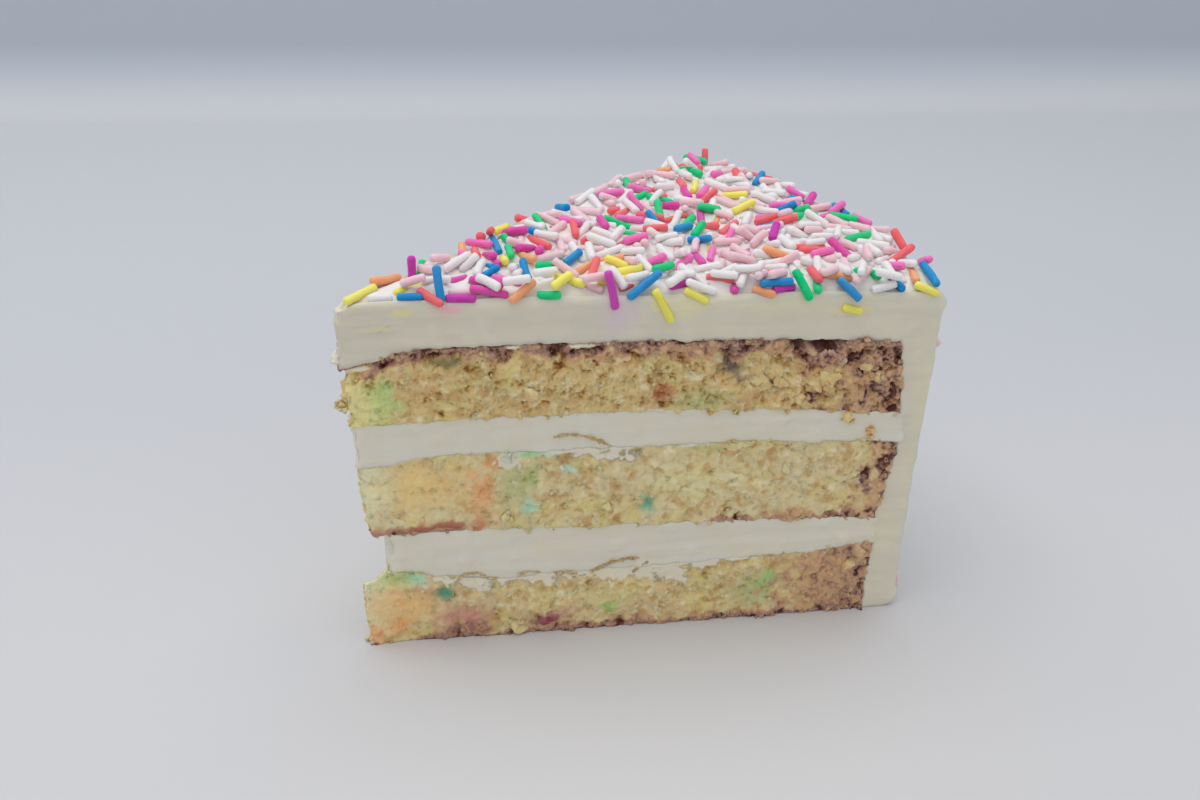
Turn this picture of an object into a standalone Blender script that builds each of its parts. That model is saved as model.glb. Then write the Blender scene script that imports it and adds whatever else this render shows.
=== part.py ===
"""A slice of round birthday cake: three sponges, two fillings, and an iced coat strewn with sugar strands.

Units are metres, +Z is up. The slice is an eighth of the cake. Its front cut face lies along +X, its
back cut face is turned from that by the slice's angle, and the origin is on the underside at the
middle of the slice. Places on the cake are given from the tip, as a radius and an angle round the
cake, or along the front edge and back from it.
"""

import math
import random
from typing import NamedTuple

import bmesh
import bpy
import numpy as np
from mathutils import Matrix, Vector, noise

# Driving dimensions of the cake
SLICE_ANGLE = math.radians(45)
CAKE_RADIUS = 0.1098
JOINT_GAP = 0.0003
TIP_BLUNT = 0.0014
TIP_PUSH_REACH = 0.004
CREAM_TIP_SETBACK = -0.0005

# The side of the icing: a lip at the top, a foot that spreads and then rounds in to the table
SHOULDER = 0.0028
SHOULDER_LIP = 0.0006
INNER_CORNER = 0.0004
FOOT_SPREAD = 0.0012
FOOT_HEIGHT = 0.012
FOOT_ROUND = 0.0014
FOOT_ROUND_SHARE = 0.13
SIDE_WAVE = 0.0005
SIDE_WAVE_LENGTH = 0.024

# The middle of the underside, measured from the tip along the line that halves the slice
HALF_ANGLE = SLICE_ANGLE / 2
MIDDLE_FROM_TIP = 2 / 3 * CAKE_RADIUS * math.sin(HALF_ANGLE) / HALF_ANGLE
TOWARDS_TIP = Vector((-math.cos(HALF_ANGLE), -math.sin(HALF_ANGLE), 0))
TIP = TOWARDS_TIP * MIDDLE_FROM_TIP

# How finely the solids are divided
AROUND = 8
ALONG = 18
SPONGE_ROWS = 3
FILLING_ROWS = 2
COAT_ALONG_TOP = 20
COAT_ROUND_SHOULDER = 3
COAT_ROWS = 2

# Relief of the cut faces
CRUMB_RELIEF = 0.0009
CRUMB_LUMP = 0.007
CREAM_RELIEF = 0.00035
CREAM_LUMP = 0.016

# Sugar strands
STRAND_SEED = 7
STRAND_COUNT = 470
STRANDS_IN_SOLID = 235
SHORT_STRAND = 0.0038
USUAL_STRAND = 0.0074
LONG_STRAND = 0.0086
STRAND_RADIUS = 0.00078
STRAND_SIDES = 6
STRAND_SINK = 0.0003
STRAND_BITE = 0.0002
STRAND_TRIES = 14
STRAND_SAMPLES = 14
FIELD_CELL = 0.0004


class Level(NamedTuple):
    """One surface between two layers: its height, and how it rises at the tip, the rim and the back."""

    middle: float
    tip_rise: float = 0.0
    tip_reach: float = 0.010
    rim_rise: float = 0.0
    rim_power: float = 2
    back_rise: float = 0.0
    ripple: float = 0.0004


TABLE = Level(0.0, ripple=0.0)
BOTTOM_SPONGE_TOP = Level(0.0140, tip_rise=0.0040, tip_reach=0.016, rim_rise=0.0030)
MIDDLE_SPONGE_FOOT = Level(0.0258, rim_rise=-0.0032)
MIDDLE_SPONGE_TOP = Level(0.0430, tip_rise=-0.0020, rim_rise=-0.0030, rim_power=4)
TOP_SPONGE_FOOT = Level(0.0503, tip_rise=-0.0008, rim_rise=-0.0040, rim_power=4)
TOP_SPONGE_TOP = Level(0.0652, tip_rise=-0.0034, rim_rise=-0.0026, back_rise=0.0006)
ICING_TOP = Level(0.0742, rim_rise=-0.0016, back_rise=0.0016, ripple=0.0005)
RIPPLE_LENGTH = 0.022


class Layer(NamedTuple):
    """A sponge or a filling: the levels that bound it, and at each its set-back tip and its rim."""

    foot: Level
    top: Level
    foot_tip: float
    top_tip: float
    foot_rim: float
    top_rim: float


LAYERS = {
    "sponge_bottom": Layer(TABLE, BOTTOM_SPONGE_TOP, 0.0012, 0.0006, 0.1030, 0.1032),
    "filling_lower": Layer(BOTTOM_SPONGE_TOP, MIDDLE_SPONGE_FOOT, 0.0060, 0.0060, 0.1032, 0.1028),
    "sponge_middle": Layer(MIDDLE_SPONGE_FOOT, MIDDLE_SPONGE_TOP, 0.0028, 0.0010, 0.1028, 0.1054),
    "filling_upper": Layer(MIDDLE_SPONGE_TOP, TOP_SPONGE_FOOT, 0.0010, 0.0008, 0.1054, 0.1046),
    "sponge_top": Layer(TOP_SPONGE_FOOT, TOP_SPONGE_TOP, 0.0006, 0.0000, 0.1046, 0.1022),
}


class PlacedStrand(NamedTuple):
    """A strand laid by hand: its middle, its rise over the icing, its lie in degrees and its length."""

    along: float
    back: float
    rise: float
    yaw: float
    pitch: float
    length: float


# The strands at the edges, which stand, lean or hang over as scattered ones wouldn't
PLACED_STRANDS = (
    PlacedStrand(0.0036, 0.0018, 0.0008, 45, 4, 0.0074),
    PlacedStrand(0.0125, 0.0080, 0.0022, 90, 84, 0.0050),
    PlacedStrand(0.0140, 0.0100, 0.0012, 75, 25, 0.0044),
    PlacedStrand(0.0170, 0.0016, 0.0026, 100, 55, 0.0064),
    PlacedStrand(0.0120, 0.0008, 0.0004, 0, 0, 0.0046),
    PlacedStrand(0.0154, 0.0004, 0.0009, -40, -16, 0.0056),
    PlacedStrand(0.0206, 0.0006, 0.0005, -4, 0, 0.0054),
    PlacedStrand(0.0290, 0.0050, 0.0011, -33, 0, 0.0060),
    PlacedStrand(0.0314, 0.0008, 0.0013, 32, 26, 0.0060),
    PlacedStrand(0.0324, 0.0140, 0.0018, -57, 6, 0.0080),
    PlacedStrand(0.0360, 0.0007, 0.0005, -6, 0, 0.0043),
    PlacedStrand(0.0470, 0.0003, 0.0014, 124, 70, 0.0072),
    PlacedStrand(0.0530, 0.0010, 0.0018, 24, 29, 0.0078),
    PlacedStrand(0.0564, 0.0000, -0.0012, -10, -61, 0.0072),
    PlacedStrand(0.0624, 0.0004, 0.0003, -12, -26, 0.0050),
    PlacedStrand(0.0602, 0.0026, 0.0010, 18, 0, 0.0056),
    PlacedStrand(0.0763, 0.0056, 0.0013, -23, 4, 0.0080),
    PlacedStrand(0.0748, 0.0004, 0.0004, -20, -10, 0.0044),
    PlacedStrand(0.0786, 0.0010, 0.0006, 17, 0, 0.0046),
    PlacedStrand(0.0820, 0.0008, 0.0012, 127, 48, 0.0064),
    PlacedStrand(0.0853, 0.0020, 0.0007, -104, -10, 0.0052),
    PlacedStrand(0.0908, 0.0004, 0.0008, -34, -36, 0.0056),
    PlacedStrand(0.0917, 0.0000, -0.0028, -5, -14, 0.0040),
    PlacedStrand(0.1046, 0.0050, 0.0013, -100, 0, 0.0070),
    PlacedStrand(0.1074, 0.0040, 0.0018, -88, -10, 0.0078),
    PlacedStrand(0.1058, 0.0006, 0.0008, -12, -22, 0.0050),
    PlacedStrand(0.1052, 0.0126, 0.0020, 37, 10, 0.0080),
    PlacedStrand(0.0800, 0.0712, 0.0018, 80, 74, 0.0052),
)


class Strand(NamedTuple):
    """A sugar strand: its middle from the tip, its direction, length and radius."""

    middle: Vector
    direction: Vector
    length: float
    radius: float


def polar(radius, angle):
    """A point on the plan of the slice, from the tip."""
    return radius * math.cos(angle), radius * math.sin(angle)


def level_height(level, along, back):
    """Height of a level at a point on the plan."""
    radius = math.hypot(along, back)
    tip = level.tip_rise * math.exp(-((radius / level.tip_reach) ** 2))
    rim = level.rim_rise * (radius / CAKE_RADIUS) ** level.rim_power
    far = level.back_rise * back / (CAKE_RADIUS * math.sin(SLICE_ANGLE))
    place = Vector((along, back, level.middle)) / RIPPLE_LENGTH
    return level.middle + tip + rim + far + level.ripple * noise.noise(place)


def blend(start, end, share):
    """A value between two, by a share."""
    return start + (end - start) * share


def with_tip(place, radius, setback):
    """Moves a point near the blunt tip out, so that the tip stands at its set-back from the apex."""
    push = max(TIP_BLUNT - setback, 0)
    return place + TOWARDS_TIP * push * math.exp(-(radius - TIP_BLUNT) / TIP_PUSH_REACH)


def cut_face_relief(place, around_share, depth, lump):
    """Moves a point of the front or back cut face in or out, and leaves any other where it is."""
    edge = 1e-6
    if around_share < edge:
        normal = Vector((0, -1, 0))
    elif around_share > 1 - edge:
        normal = Vector((-math.sin(SLICE_ANGLE), math.cos(SLICE_ANGLE), 0))
    else:
        return place
    return place + normal * depth * noise.noise(place / lump)


def unit_block(along, around, rows):
    """A closed block of quads in the unit cube, whose x, y and z are its shares along, around and up."""
    block = bmesh.new()
    bmesh.ops.create_grid(block, x_segments=along, y_segments=around, size=0.5)
    bmesh.ops.translate(block, vec=(0.5, 0.5, 0), verts=block.verts)
    sheet = block.faces[:] + block.edges[:]
    for row in range(rows):
        sheet = bmesh.ops.extrude_face_region(block, geom=sheet, use_keep_orig=row == 0)["geom"]
        raised = [item for item in sheet if isinstance(item, bmesh.types.BMVert)]
        bmesh.ops.translate(block, vec=(0, 0, 1 / rows), verts=raised)
    return block


def material(name, colour, roughness):
    """A plain finish for one kind of piece."""
    finish = bpy.data.materials.new(name)
    finish.use_nodes = True
    shader = finish.node_tree.nodes["Principled BSDF"]
    shader.inputs["Base Color"].default_value = (*colour, 1)
    shader.inputs["Roughness"].default_value = roughness
    shader.inputs["Metallic"].default_value = 0
    return finish


def add_object(name, block, finish, collection):
    """Turns a block into a named object of the slice, standing at the tip."""
    bmesh.ops.recalc_face_normals(block, faces=block.faces)
    mesh = bpy.data.meshes.new(name)
    block.to_mesh(mesh)
    block.free()
    mesh.materials.append(finish)
    piece = bpy.data.objects.new(name, mesh)
    piece.location = TIP
    collection.objects.link(piece)
    return piece


def build_layer(name, layer, finish, relief, lump, rows, collection):
    """A sponge or filling: a wedge between two levels, from its set-back tip to the coat."""
    block = unit_block(ALONG, AROUND, rows)
    for vert in block.verts:
        along_share, around_share, up_share = vert.co
        setback = blend(layer.foot_tip, layer.top_tip, up_share)
        rim = blend(layer.foot_rim, layer.top_rim, up_share)
        radius = blend(max(setback, TIP_BLUNT), rim, along_share)
        along, back = polar(radius, around_share * SLICE_ANGLE)
        foot = level_height(layer.foot, along, back)
        top = level_height(layer.top, along, back) - JOINT_GAP
        place = with_tip(Vector((along, back, blend(foot, top, up_share))), radius, setback)
        vert.co = cut_face_relief(place, around_share, relief, lump)
    return add_object(name, block, finish, collection)


def top_and_corner(level, side_radius, corner, angle):
    """Radii and heights along a level from the tip, then round the corner to the side."""
    run = side_radius - corner
    points = []
    for step in range(COAT_ALONG_TOP):
        radius = blend(TIP_BLUNT, run, step / COAT_ALONG_TOP)
        points.append((radius, level_height(level, *polar(radius, angle))))
    centre = level_height(level, *polar(run, angle)) - corner
    for step in range(COAT_ROUND_SHOULDER + 1):
        turn = math.pi / 2 * step / COAT_ROUND_SHOULDER
        points.append((run + corner * math.sin(turn), centre + corner * math.cos(turn)))
    return points


def coat_inside(angle):
    """The inside of the icing: over the top sponge, and down the rims of the layers to the table."""
    points = top_and_corner(TOP_SPONGE_TOP, LAYERS["sponge_top"].top_rim + JOINT_GAP, INNER_CORNER, angle)
    for layer in reversed(LAYERS.values()):
        shares = (0.5, FOOT_ROUND_SHARE, 0) if layer.foot is TABLE else (0.5, 0)
        foot = level_height(layer.foot, *polar(layer.foot_rim, angle))
        top = level_height(layer.top, *polar(layer.top_rim, angle))
        for share in shares:
            rim = blend(layer.foot_rim, layer.top_rim, share) + JOINT_GAP
            points.append((rim, blend(foot, top, share)))
    return points


def side_radius(height, angle):
    """Radius of the icing's side at a height: its waves, its lip at the top and its spreading foot."""
    along, back = polar(CAKE_RADIUS, angle)
    wave = SIDE_WAVE * noise.noise(Vector((along, back, height)) / SIDE_WAVE_LENGTH)
    lip = SHOULDER_LIP * math.exp(-(((ICING_TOP.middle - SHOULDER - height) / SHOULDER) ** 2))
    foot = FOOT_SPREAD * math.exp(-((height / FOOT_HEIGHT) ** 2))
    return CAKE_RADIUS + wave + lip + foot


def coat_outside(angle, side_heights):
    """The outside of the icing: the top, the shoulder, and the side down to its rounded foot."""
    shoulder_radius = side_radius(ICING_TOP.middle - SHOULDER, angle)
    points = top_and_corner(ICING_TOP, shoulder_radius, SHOULDER, angle)
    for height in side_heights:
        points.append((side_radius(height, angle) - (FOOT_ROUND if height == 0 else 0), height))
    return points


def build_coat(finish, collection):
    """The icing: one sheet that lies over the top sponge and turns down the side to the foot."""
    insides = []
    outsides = []
    for column in range(AROUND + 1):
        angle = SLICE_ANGLE * column / AROUND
        inside = coat_inside(angle)
        side_heights = [height for _, height in inside[COAT_ALONG_TOP + COAT_ROUND_SHOULDER + 1 :]]
        insides.append(inside)
        outsides.append(coat_outside(angle, side_heights))
    stations = len(insides[0]) - 1
    block = unit_block(stations, AROUND, COAT_ROWS)
    for vert in block.verts:
        along_share, around_share, out_share = vert.co
        station = round(along_share * stations)
        column = round(around_share * AROUND)
        inner = Vector(insides[column][station])
        radius, height = inner.lerp(Vector(outsides[column][station]), out_share)
        along, back = polar(radius, SLICE_ANGLE * column / AROUND)
        place = with_tip(Vector((along, back, height)), radius, CREAM_TIP_SETBACK)
        vert.co = cut_face_relief(place, around_share, CREAM_RELIEF, CREAM_LUMP)
    return add_object("icing", block, finish, collection)


class StrandBed:
    """The top of the icing as a field of heights, on which strands come to rest one by one."""

    def __init__(self):
        reach = CAKE_RADIUS + LONG_STRAND
        self.xs = np.arange(-LONG_STRAND, reach, FIELD_CELL)
        self.ys = np.arange(-LONG_STRAND, reach * math.sin(SLICE_ANGLE) + LONG_STRAND, FIELD_CELL)
        rows = [[level_height(ICING_TOP, x, y) - STRAND_SINK for y in self.ys] for x in self.xs]
        self.heights = np.array(rows)

    def sample(self, x, y):
        """Heights of the field at arrays of points."""
        column = np.clip(((x - self.xs[0]) / FIELD_CELL).round().astype(int), 0, len(self.xs) - 1)
        row = np.clip(((y - self.ys[0]) / FIELD_CELL).round().astype(int), 0, len(self.ys) - 1)
        return self.heights[column, row]

    def rest(self, x, y, yaw, length):
        """Height and slope at which a strand lies on what is under it, by the two points that carry it."""
        shares = np.linspace(-0.5, 0.5, STRAND_SAMPLES) * length
        aside = STRAND_RADIUS * 0.7
        cos, sin = math.cos(yaw), math.sin(yaw)
        under = self.sample(x + shares * cos, y + shares * sin)
        for side in (-aside, aside):
            beside = self.sample(x + shares * cos - side * sin, y + shares * sin + side * cos)
            under = np.maximum(under, beside - STRAND_RADIUS + math.sqrt(STRAND_RADIUS**2 - aside**2))
        left, right = shares < 0, shares > 0
        span = shares[right][None, :] - shares[left][:, None]
        slope = (under[right][None, :] - under[left][:, None]) / span
        height = under[left][:, None] - slope * shares[left][:, None]
        best = np.unravel_index(np.argmax(height), height.shape)
        return float(height[best]), float(slope[best])

    def add(self, strand):
        """Raises the field where a strand lies."""
        reach = strand.length / 2 + strand.radius
        inside_x = np.abs(self.xs - strand.middle.x) < reach
        inside_y = np.abs(self.ys - strand.middle.y) < reach
        x, y = np.meshgrid(self.xs[inside_x], self.ys[inside_y], indexing="ij")
        flat = math.hypot(strand.direction.x, strand.direction.y)
        dx, dy = strand.direction.x / flat, strand.direction.y / flat
        along = (x - strand.middle.x) * dx + (y - strand.middle.y) * dy
        across = (y - strand.middle.y) * dx - (x - strand.middle.x) * dy
        covered = (np.abs(along) < strand.length / 2 * flat) & (np.abs(across) < strand.radius)
        crown = np.sqrt(np.maximum(strand.radius**2 - across**2, 0))
        axis = strand.middle.z + along * strand.direction.z / flat
        cells = np.ix_(inside_x, inside_y)
        self.heights[cells] = np.maximum(self.heights[cells], np.where(covered, axis + crown, -1))


def lie(yaw, pitch):
    """The direction of a strand turned by a yaw and raised by a pitch."""
    return Vector((math.cos(yaw) * math.cos(pitch), math.sin(yaw) * math.cos(pitch), math.sin(pitch)))


def placed_strands():
    """The strands laid by hand at the edges of the top."""
    strands = []
    for placed in PLACED_STRANDS:
        direction = lie(math.radians(placed.yaw), math.radians(placed.pitch))
        level = level_height(ICING_TOP, placed.along, placed.back)
        middle = Vector((placed.along, placed.back, level + placed.rise))
        strands.append(Strand(middle, direction, placed.length, STRAND_RADIUS))
    return strands


def on_the_top(x, y):
    """Whether a point lies on the top of the slice, inside its edges."""
    within_cuts = y > 0 and y * math.cos(SLICE_ANGLE) < x * math.sin(SLICE_ANGLE)
    return within_cuts and math.hypot(x, y) < CAKE_RADIUS


def strewn_strands():
    """All the strands: the placed ones, then the scattered ones, longest first, each where it lies low."""
    draw = random.Random(STRAND_SEED)
    bed = StrandBed()
    strands = placed_strands()
    for strand in strands:
        bed.add(strand)
    scattered = STRAND_COUNT - len(strands)
    lengths = [draw.triangular(SHORT_STRAND, LONG_STRAND, USUAL_STRAND) for _ in range(scattered)]
    for length in sorted(lengths, reverse=True):
        places = []
        while len(places) < STRAND_TRIES:
            x, y = polar(CAKE_RADIUS * math.sqrt(draw.random()), SLICE_ANGLE * draw.random())
            yaw = math.pi * draw.random()
            dx, dy = math.cos(yaw) * length / 2, math.sin(yaw) * length / 2
            if on_the_top(x - dx, y - dy) and on_the_top(x + dx, y + dy):
                height, slope = bed.rest(x, y, yaw, length)
                places.append((height - level_height(ICING_TOP, x, y), height, slope, x, y, yaw))
        height, slope, x, y, yaw = min(places)[1:]
        radius = STRAND_RADIUS * draw.uniform(0.9, 1.1)
        direction = lie(yaw, math.atan(slope))
        middle = Vector((x, y, height + radius * math.hypot(1, slope) - STRAND_BITE))
        strands.append(Strand(middle, direction, length, radius))
        bed.add(strands[-1])
    return strands


def strand_solid(index, strand, finish, collection):
    """One strand as a rod of few sides."""
    block = bmesh.new()
    bmesh.ops.create_cone(
        block,
        cap_ends=True,
        segments=STRAND_SIDES,
        radius1=strand.radius,
        radius2=strand.radius,
        depth=strand.length,
    )
    turn = strand.direction.to_track_quat("Z", "Y").to_matrix().to_4x4()
    bmesh.ops.transform(block, matrix=Matrix.Translation(strand.middle) @ turn, verts=block.verts)
    return add_object(f"strand_{index}", block, finish, collection)


def linked_verts(start):
    """All the corners that edges link to one corner, with that corner."""
    body = {start}
    rim = [start]
    while rim:
        for edge in rim.pop().link_edges:
            fresh = [vert for vert in edge.verts if vert not in body]
            body.update(fresh)
            rim.extend(fresh)
    return body


def keep_largest_body(mesh):
    """Deletes sealed hollows and loose scraps, which are the smaller bodies of a joined mesh."""
    block = bmesh.new()
    block.from_mesh(mesh)
    unseen = set(block.verts)
    bodies = []
    while unseen:
        bodies.append(linked_verts(next(iter(unseen))))
        unseen -= bodies[-1]
    bodies.sort(key=len)
    scraps = [vert for body in bodies[:-1] for vert in body]
    bmesh.ops.delete(block, geom=scraps, context="VERTS")
    bmesh.ops.triangulate(block, faces=block.faces)
    block.to_mesh(mesh)
    block.free()


def fuse_strands(coat, finish):
    """Joins the placed and the largest strands to the icing, so that coat and strands are one solid."""
    rods = bpy.data.collections.new("strands_to_fuse")
    bpy.context.scene.collection.children.link(rods)
    for index, strand in enumerate(strewn_strands()[:STRANDS_IN_SOLID]):
        strand_solid(index, strand, finish, rods)
    join = coat.modifiers.new("strands", "BOOLEAN")
    join.operation = "UNION"
    join.operand_type = "COLLECTION"
    join.collection = rods
    join.solver = "EXACT"
    graph = bpy.context.evaluated_depsgraph_get()
    joined = bpy.data.meshes.new_from_object(coat.evaluated_get(graph))
    coat.modifiers.clear()
    coat.data = joined
    for rod in list(rods.objects):
        bpy.data.objects.remove(rod)
    bpy.data.collections.remove(rods)
    keep_largest_body(coat.data)


def main():
    for old in list(bpy.data.objects):
        bpy.data.objects.remove(old)
    cake = bpy.data.collections.new("birthday_cake_slice")
    bpy.context.scene.collection.children.link(cake)
    sponge = material("vanilla_sponge", (0.60, 0.43, 0.20), 0.9)
    cream = material("buttercream", (0.80, 0.78, 0.70), 0.5)
    for name, layer in LAYERS.items():
        if name.startswith("sponge"):
            build_layer(name, layer, sponge, CRUMB_RELIEF, CRUMB_LUMP, SPONGE_ROWS, cake)
        else:
            build_layer(name, layer, cream, CREAM_RELIEF, CREAM_LUMP, FILLING_ROWS, cake)
    coat = build_coat(cream, cake)
    fuse_strands(coat, cream)


main()
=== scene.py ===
"""Finish of a birthday cake slice: torn sponge crumb, whipped buttercream and glazed sugar strands."""

import functools
import math
import random
from typing import NamedTuple

import bmesh
import bpy
import numpy as np
from bpy.props import FloatProperty, FloatVectorProperty, IntProperty, PointerProperty
from mathutils import Matrix, Vector, noise


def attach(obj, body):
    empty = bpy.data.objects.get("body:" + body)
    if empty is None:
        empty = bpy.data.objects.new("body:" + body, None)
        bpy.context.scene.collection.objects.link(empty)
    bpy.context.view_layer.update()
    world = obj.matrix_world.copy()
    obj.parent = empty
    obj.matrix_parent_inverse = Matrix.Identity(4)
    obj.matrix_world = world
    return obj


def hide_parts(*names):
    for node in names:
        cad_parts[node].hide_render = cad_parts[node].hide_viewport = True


bl_info = {
    "name": "Birthday Cake Slice",
    "version": (1, 0, 0),
    "blender": (4, 5, 0),
    "location": "View3D > Sidebar > Cake",
    "description": "Dresses a slice of layered sponge cake in crumb, buttercream and sugar strands",
    "category": "Object",
}

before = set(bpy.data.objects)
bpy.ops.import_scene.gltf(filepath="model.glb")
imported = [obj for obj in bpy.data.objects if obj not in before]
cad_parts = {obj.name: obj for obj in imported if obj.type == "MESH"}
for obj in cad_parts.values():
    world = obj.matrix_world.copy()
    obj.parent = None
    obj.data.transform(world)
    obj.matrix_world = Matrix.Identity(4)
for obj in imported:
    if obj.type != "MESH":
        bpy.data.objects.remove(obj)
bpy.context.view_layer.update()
MM = 0.001
TINY = 1e-6
WELD = 1e-5

# Without a seed, noise_vector would differ from run to run
NOISE_SEED = 5
noise.seed_set(NOISE_SEED)

# ---------------------------------------------------------------- the slice, as its solids are made

SLICE_ANGLE = math.radians(45)
CAKE_RADIUS = 0.1098
TIP_BLUNT = 0.0014
TIP_PUSH_REACH = 0.004
CREAM_TIP_SETBACK = -0.0005
SHOULDER = 0.0028
SHOULDER_LIP = 0.0006
INNER_CORNER = 0.0004
FOOT_SPREAD = 0.0012
FOOT_HEIGHT = 0.012
FOOT_ROUND = 0.0014
SIDE_WAVE = 0.0005
SIDE_WAVE_LENGTH = 0.024
HALF_ANGLE = SLICE_ANGLE / 2
MIDDLE_FROM_TIP = 2 / 3 * CAKE_RADIUS * math.sin(HALF_ANGLE) / HALF_ANGLE
TOWARDS_TIP = Vector((-math.cos(HALF_ANGLE), -math.sin(HALF_ANGLE), 0))
TIP = TOWARDS_TIP * MIDDLE_FROM_TIP
FRONT_NORMAL = Vector((0, -1, 0))
BACK_NORMAL = Vector((-math.sin(SLICE_ANGLE), math.cos(SLICE_ANGLE), 0))

CRUMB_RELIEF = 0.0009
CRUMB_LUMP = 0.007
CREAM_RELIEF = 0.00035
CREAM_LUMP = 0.016

STRAND_SEED = 7
STRAND_COUNT = 470
SHORT_STRAND = 0.0038
USUAL_STRAND = 0.0074
LONG_STRAND = 0.0086
STRAND_RADIUS = 0.00078
STRAND_SINK = 0.0003
STRAND_BITE = 0.0002
STRAND_TRIES = 14
STRAND_SAMPLES = 14
FIELD_CELL = 0.0004


class Level(NamedTuple):
    """One surface between two layers: its height, and how it rises at the tip, the rim and the back."""

    middle: float
    tip_rise: float = 0.0
    tip_reach: float = 0.010
    rim_rise: float = 0.0
    rim_power: float = 2
    back_rise: float = 0.0
    ripple: float = 0.0004


UNDERSIDE = Level(0.0, ripple=0.0)
BOTTOM_SPONGE_TOP = Level(0.0140, tip_rise=0.0040, tip_reach=0.016, rim_rise=0.0030)
MIDDLE_SPONGE_FOOT = Level(0.0258, rim_rise=-0.0032)
MIDDLE_SPONGE_TOP = Level(0.0430, tip_rise=-0.0020, rim_rise=-0.0030, rim_power=4)
TOP_SPONGE_FOOT = Level(0.0503, tip_rise=-0.0008, rim_rise=-0.0040, rim_power=4)
TOP_SPONGE_TOP = Level(0.0652, tip_rise=-0.0034, rim_rise=-0.0026, back_rise=0.0006)
ICING_TOP = Level(0.0742, rim_rise=-0.0016, back_rise=0.0016, ripple=0.0005)
RIPPLE_LENGTH = 0.022


class Layer(NamedTuple):
    """A sponge or a filling: the levels that bound it, and at each its set-back tip and its rim."""

    foot: Level
    top: Level
    foot_tip: float
    top_tip: float
    foot_rim: float
    top_rim: float


LAYERS = {
    "sponge_bottom": Layer(UNDERSIDE, BOTTOM_SPONGE_TOP, 0.0012, 0.0006, 0.1030, 0.1032),
    "filling_lower": Layer(BOTTOM_SPONGE_TOP, MIDDLE_SPONGE_FOOT, 0.0060, 0.0060, 0.1032, 0.1028),
    "sponge_middle": Layer(MIDDLE_SPONGE_FOOT, MIDDLE_SPONGE_TOP, 0.0028, 0.0010, 0.1028, 0.1054),
    "filling_upper": Layer(MIDDLE_SPONGE_TOP, TOP_SPONGE_FOOT, 0.0010, 0.0008, 0.1054, 0.1046),
    "sponge_top": Layer(TOP_SPONGE_FOOT, TOP_SPONGE_TOP, 0.0006, 0.0000, 0.1046, 0.1022),
}


class PlacedStrand(NamedTuple):
    """A listed strand: its middle, its rise over the icing, its lie in degrees, length and colour."""

    along: float
    back: float
    rise: float
    yaw: float
    pitch: float
    length: float
    colour: str


PLACED_STRANDS = (
    PlacedStrand(0.0036, 0.0018, 0.0008, 45, 4, 0.0074, "yellow"),
    PlacedStrand(0.0125, 0.0080, 0.0022, 90, 84, 0.0050, "purple"),
    PlacedStrand(0.0140, 0.0100, 0.0012, 75, 25, 0.0044, "green"),
    PlacedStrand(0.0170, 0.0016, 0.0026, 100, 55, 0.0064, "blue"),
    PlacedStrand(0.0120, 0.0008, 0.0004, 0, 0, 0.0046, "blue"),
    PlacedStrand(0.0154, 0.0004, 0.0009, -40, -16, 0.0056, "red"),
    PlacedStrand(0.0206, 0.0006, 0.0005, -4, 0, 0.0054, "purple"),
    PlacedStrand(0.0290, 0.0050, 0.0011, -33, 0, 0.0060, "pink"),
    PlacedStrand(0.0314, 0.0008, 0.0013, 32, 26, 0.0060, "orange"),
    PlacedStrand(0.0324, 0.0140, 0.0018, -57, 6, 0.0080, "orange"),
    PlacedStrand(0.0360, 0.0007, 0.0005, -6, 0, 0.0043, "green"),
    PlacedStrand(0.0470, 0.0003, 0.0014, 124, 70, 0.0072, "purple"),
    PlacedStrand(0.0530, 0.0010, 0.0018, 24, 29, 0.0078, "blue"),
    PlacedStrand(0.0564, 0.0000, -0.0012, -10, -61, 0.0072, "yellow"),
    PlacedStrand(0.0624, 0.0004, 0.0003, -12, -26, 0.0050, "yellow"),
    PlacedStrand(0.0602, 0.0026, 0.0010, 18, 0, 0.0056, "purple"),
    PlacedStrand(0.0763, 0.0056, 0.0013, -23, 4, 0.0080, "red"),
    PlacedStrand(0.0748, 0.0004, 0.0004, -20, -10, 0.0044, "orange"),
    PlacedStrand(0.0786, 0.0010, 0.0006, 17, 0, 0.0046, "purple"),
    PlacedStrand(0.0820, 0.0008, 0.0012, 127, 48, 0.0064, "green"),
    PlacedStrand(0.0853, 0.0020, 0.0007, -104, -10, 0.0052, "green"),
    PlacedStrand(0.0908, 0.0004, 0.0008, -34, -36, 0.0056, "blue"),
    PlacedStrand(0.0917, 0.0000, -0.0028, -5, -14, 0.0040, "yellow"),
    PlacedStrand(0.1046, 0.0050, 0.0013, -100, 0, 0.0070, "orange"),
    PlacedStrand(0.1074, 0.0040, 0.0018, -88, -10, 0.0078, "blue"),
    PlacedStrand(0.1058, 0.0006, 0.0008, -12, -22, 0.0050, "yellow"),
    PlacedStrand(0.1052, 0.0126, 0.0020, 37, 10, 0.0080, "red"),
    PlacedStrand(0.0800, 0.0712, 0.0018, 80, 74, 0.0052, "red"),
)


def polar(radius, angle):
    """A point on the plan of the slice, from the tip."""
    return radius * math.cos(angle), radius * math.sin(angle)


def blend(start, end, share):
    """A value between two, by a share."""
    return start + (end - start) * share


def smooth(low, high, value):
    """0 below low, 1 above high, and an easy S between them."""
    share = min(max((value - low) / (high - low), 0), 1)
    return share * share * (3 - 2 * share)


def level_height(level, along, back):
    """Height of a level at a point on the plan."""
    radius = math.hypot(along, back)
    tip = level.tip_rise * math.exp(-((radius / level.tip_reach) ** 2))
    rim = level.rim_rise * (radius / CAKE_RADIUS) ** level.rim_power
    far = level.back_rise * back / (CAKE_RADIUS * math.sin(SLICE_ANGLE))
    place = Vector((along, back, level.middle)) / RIPPLE_LENGTH
    return level.middle + tip + rim + far + level.ripple * noise.noise(place)


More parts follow.
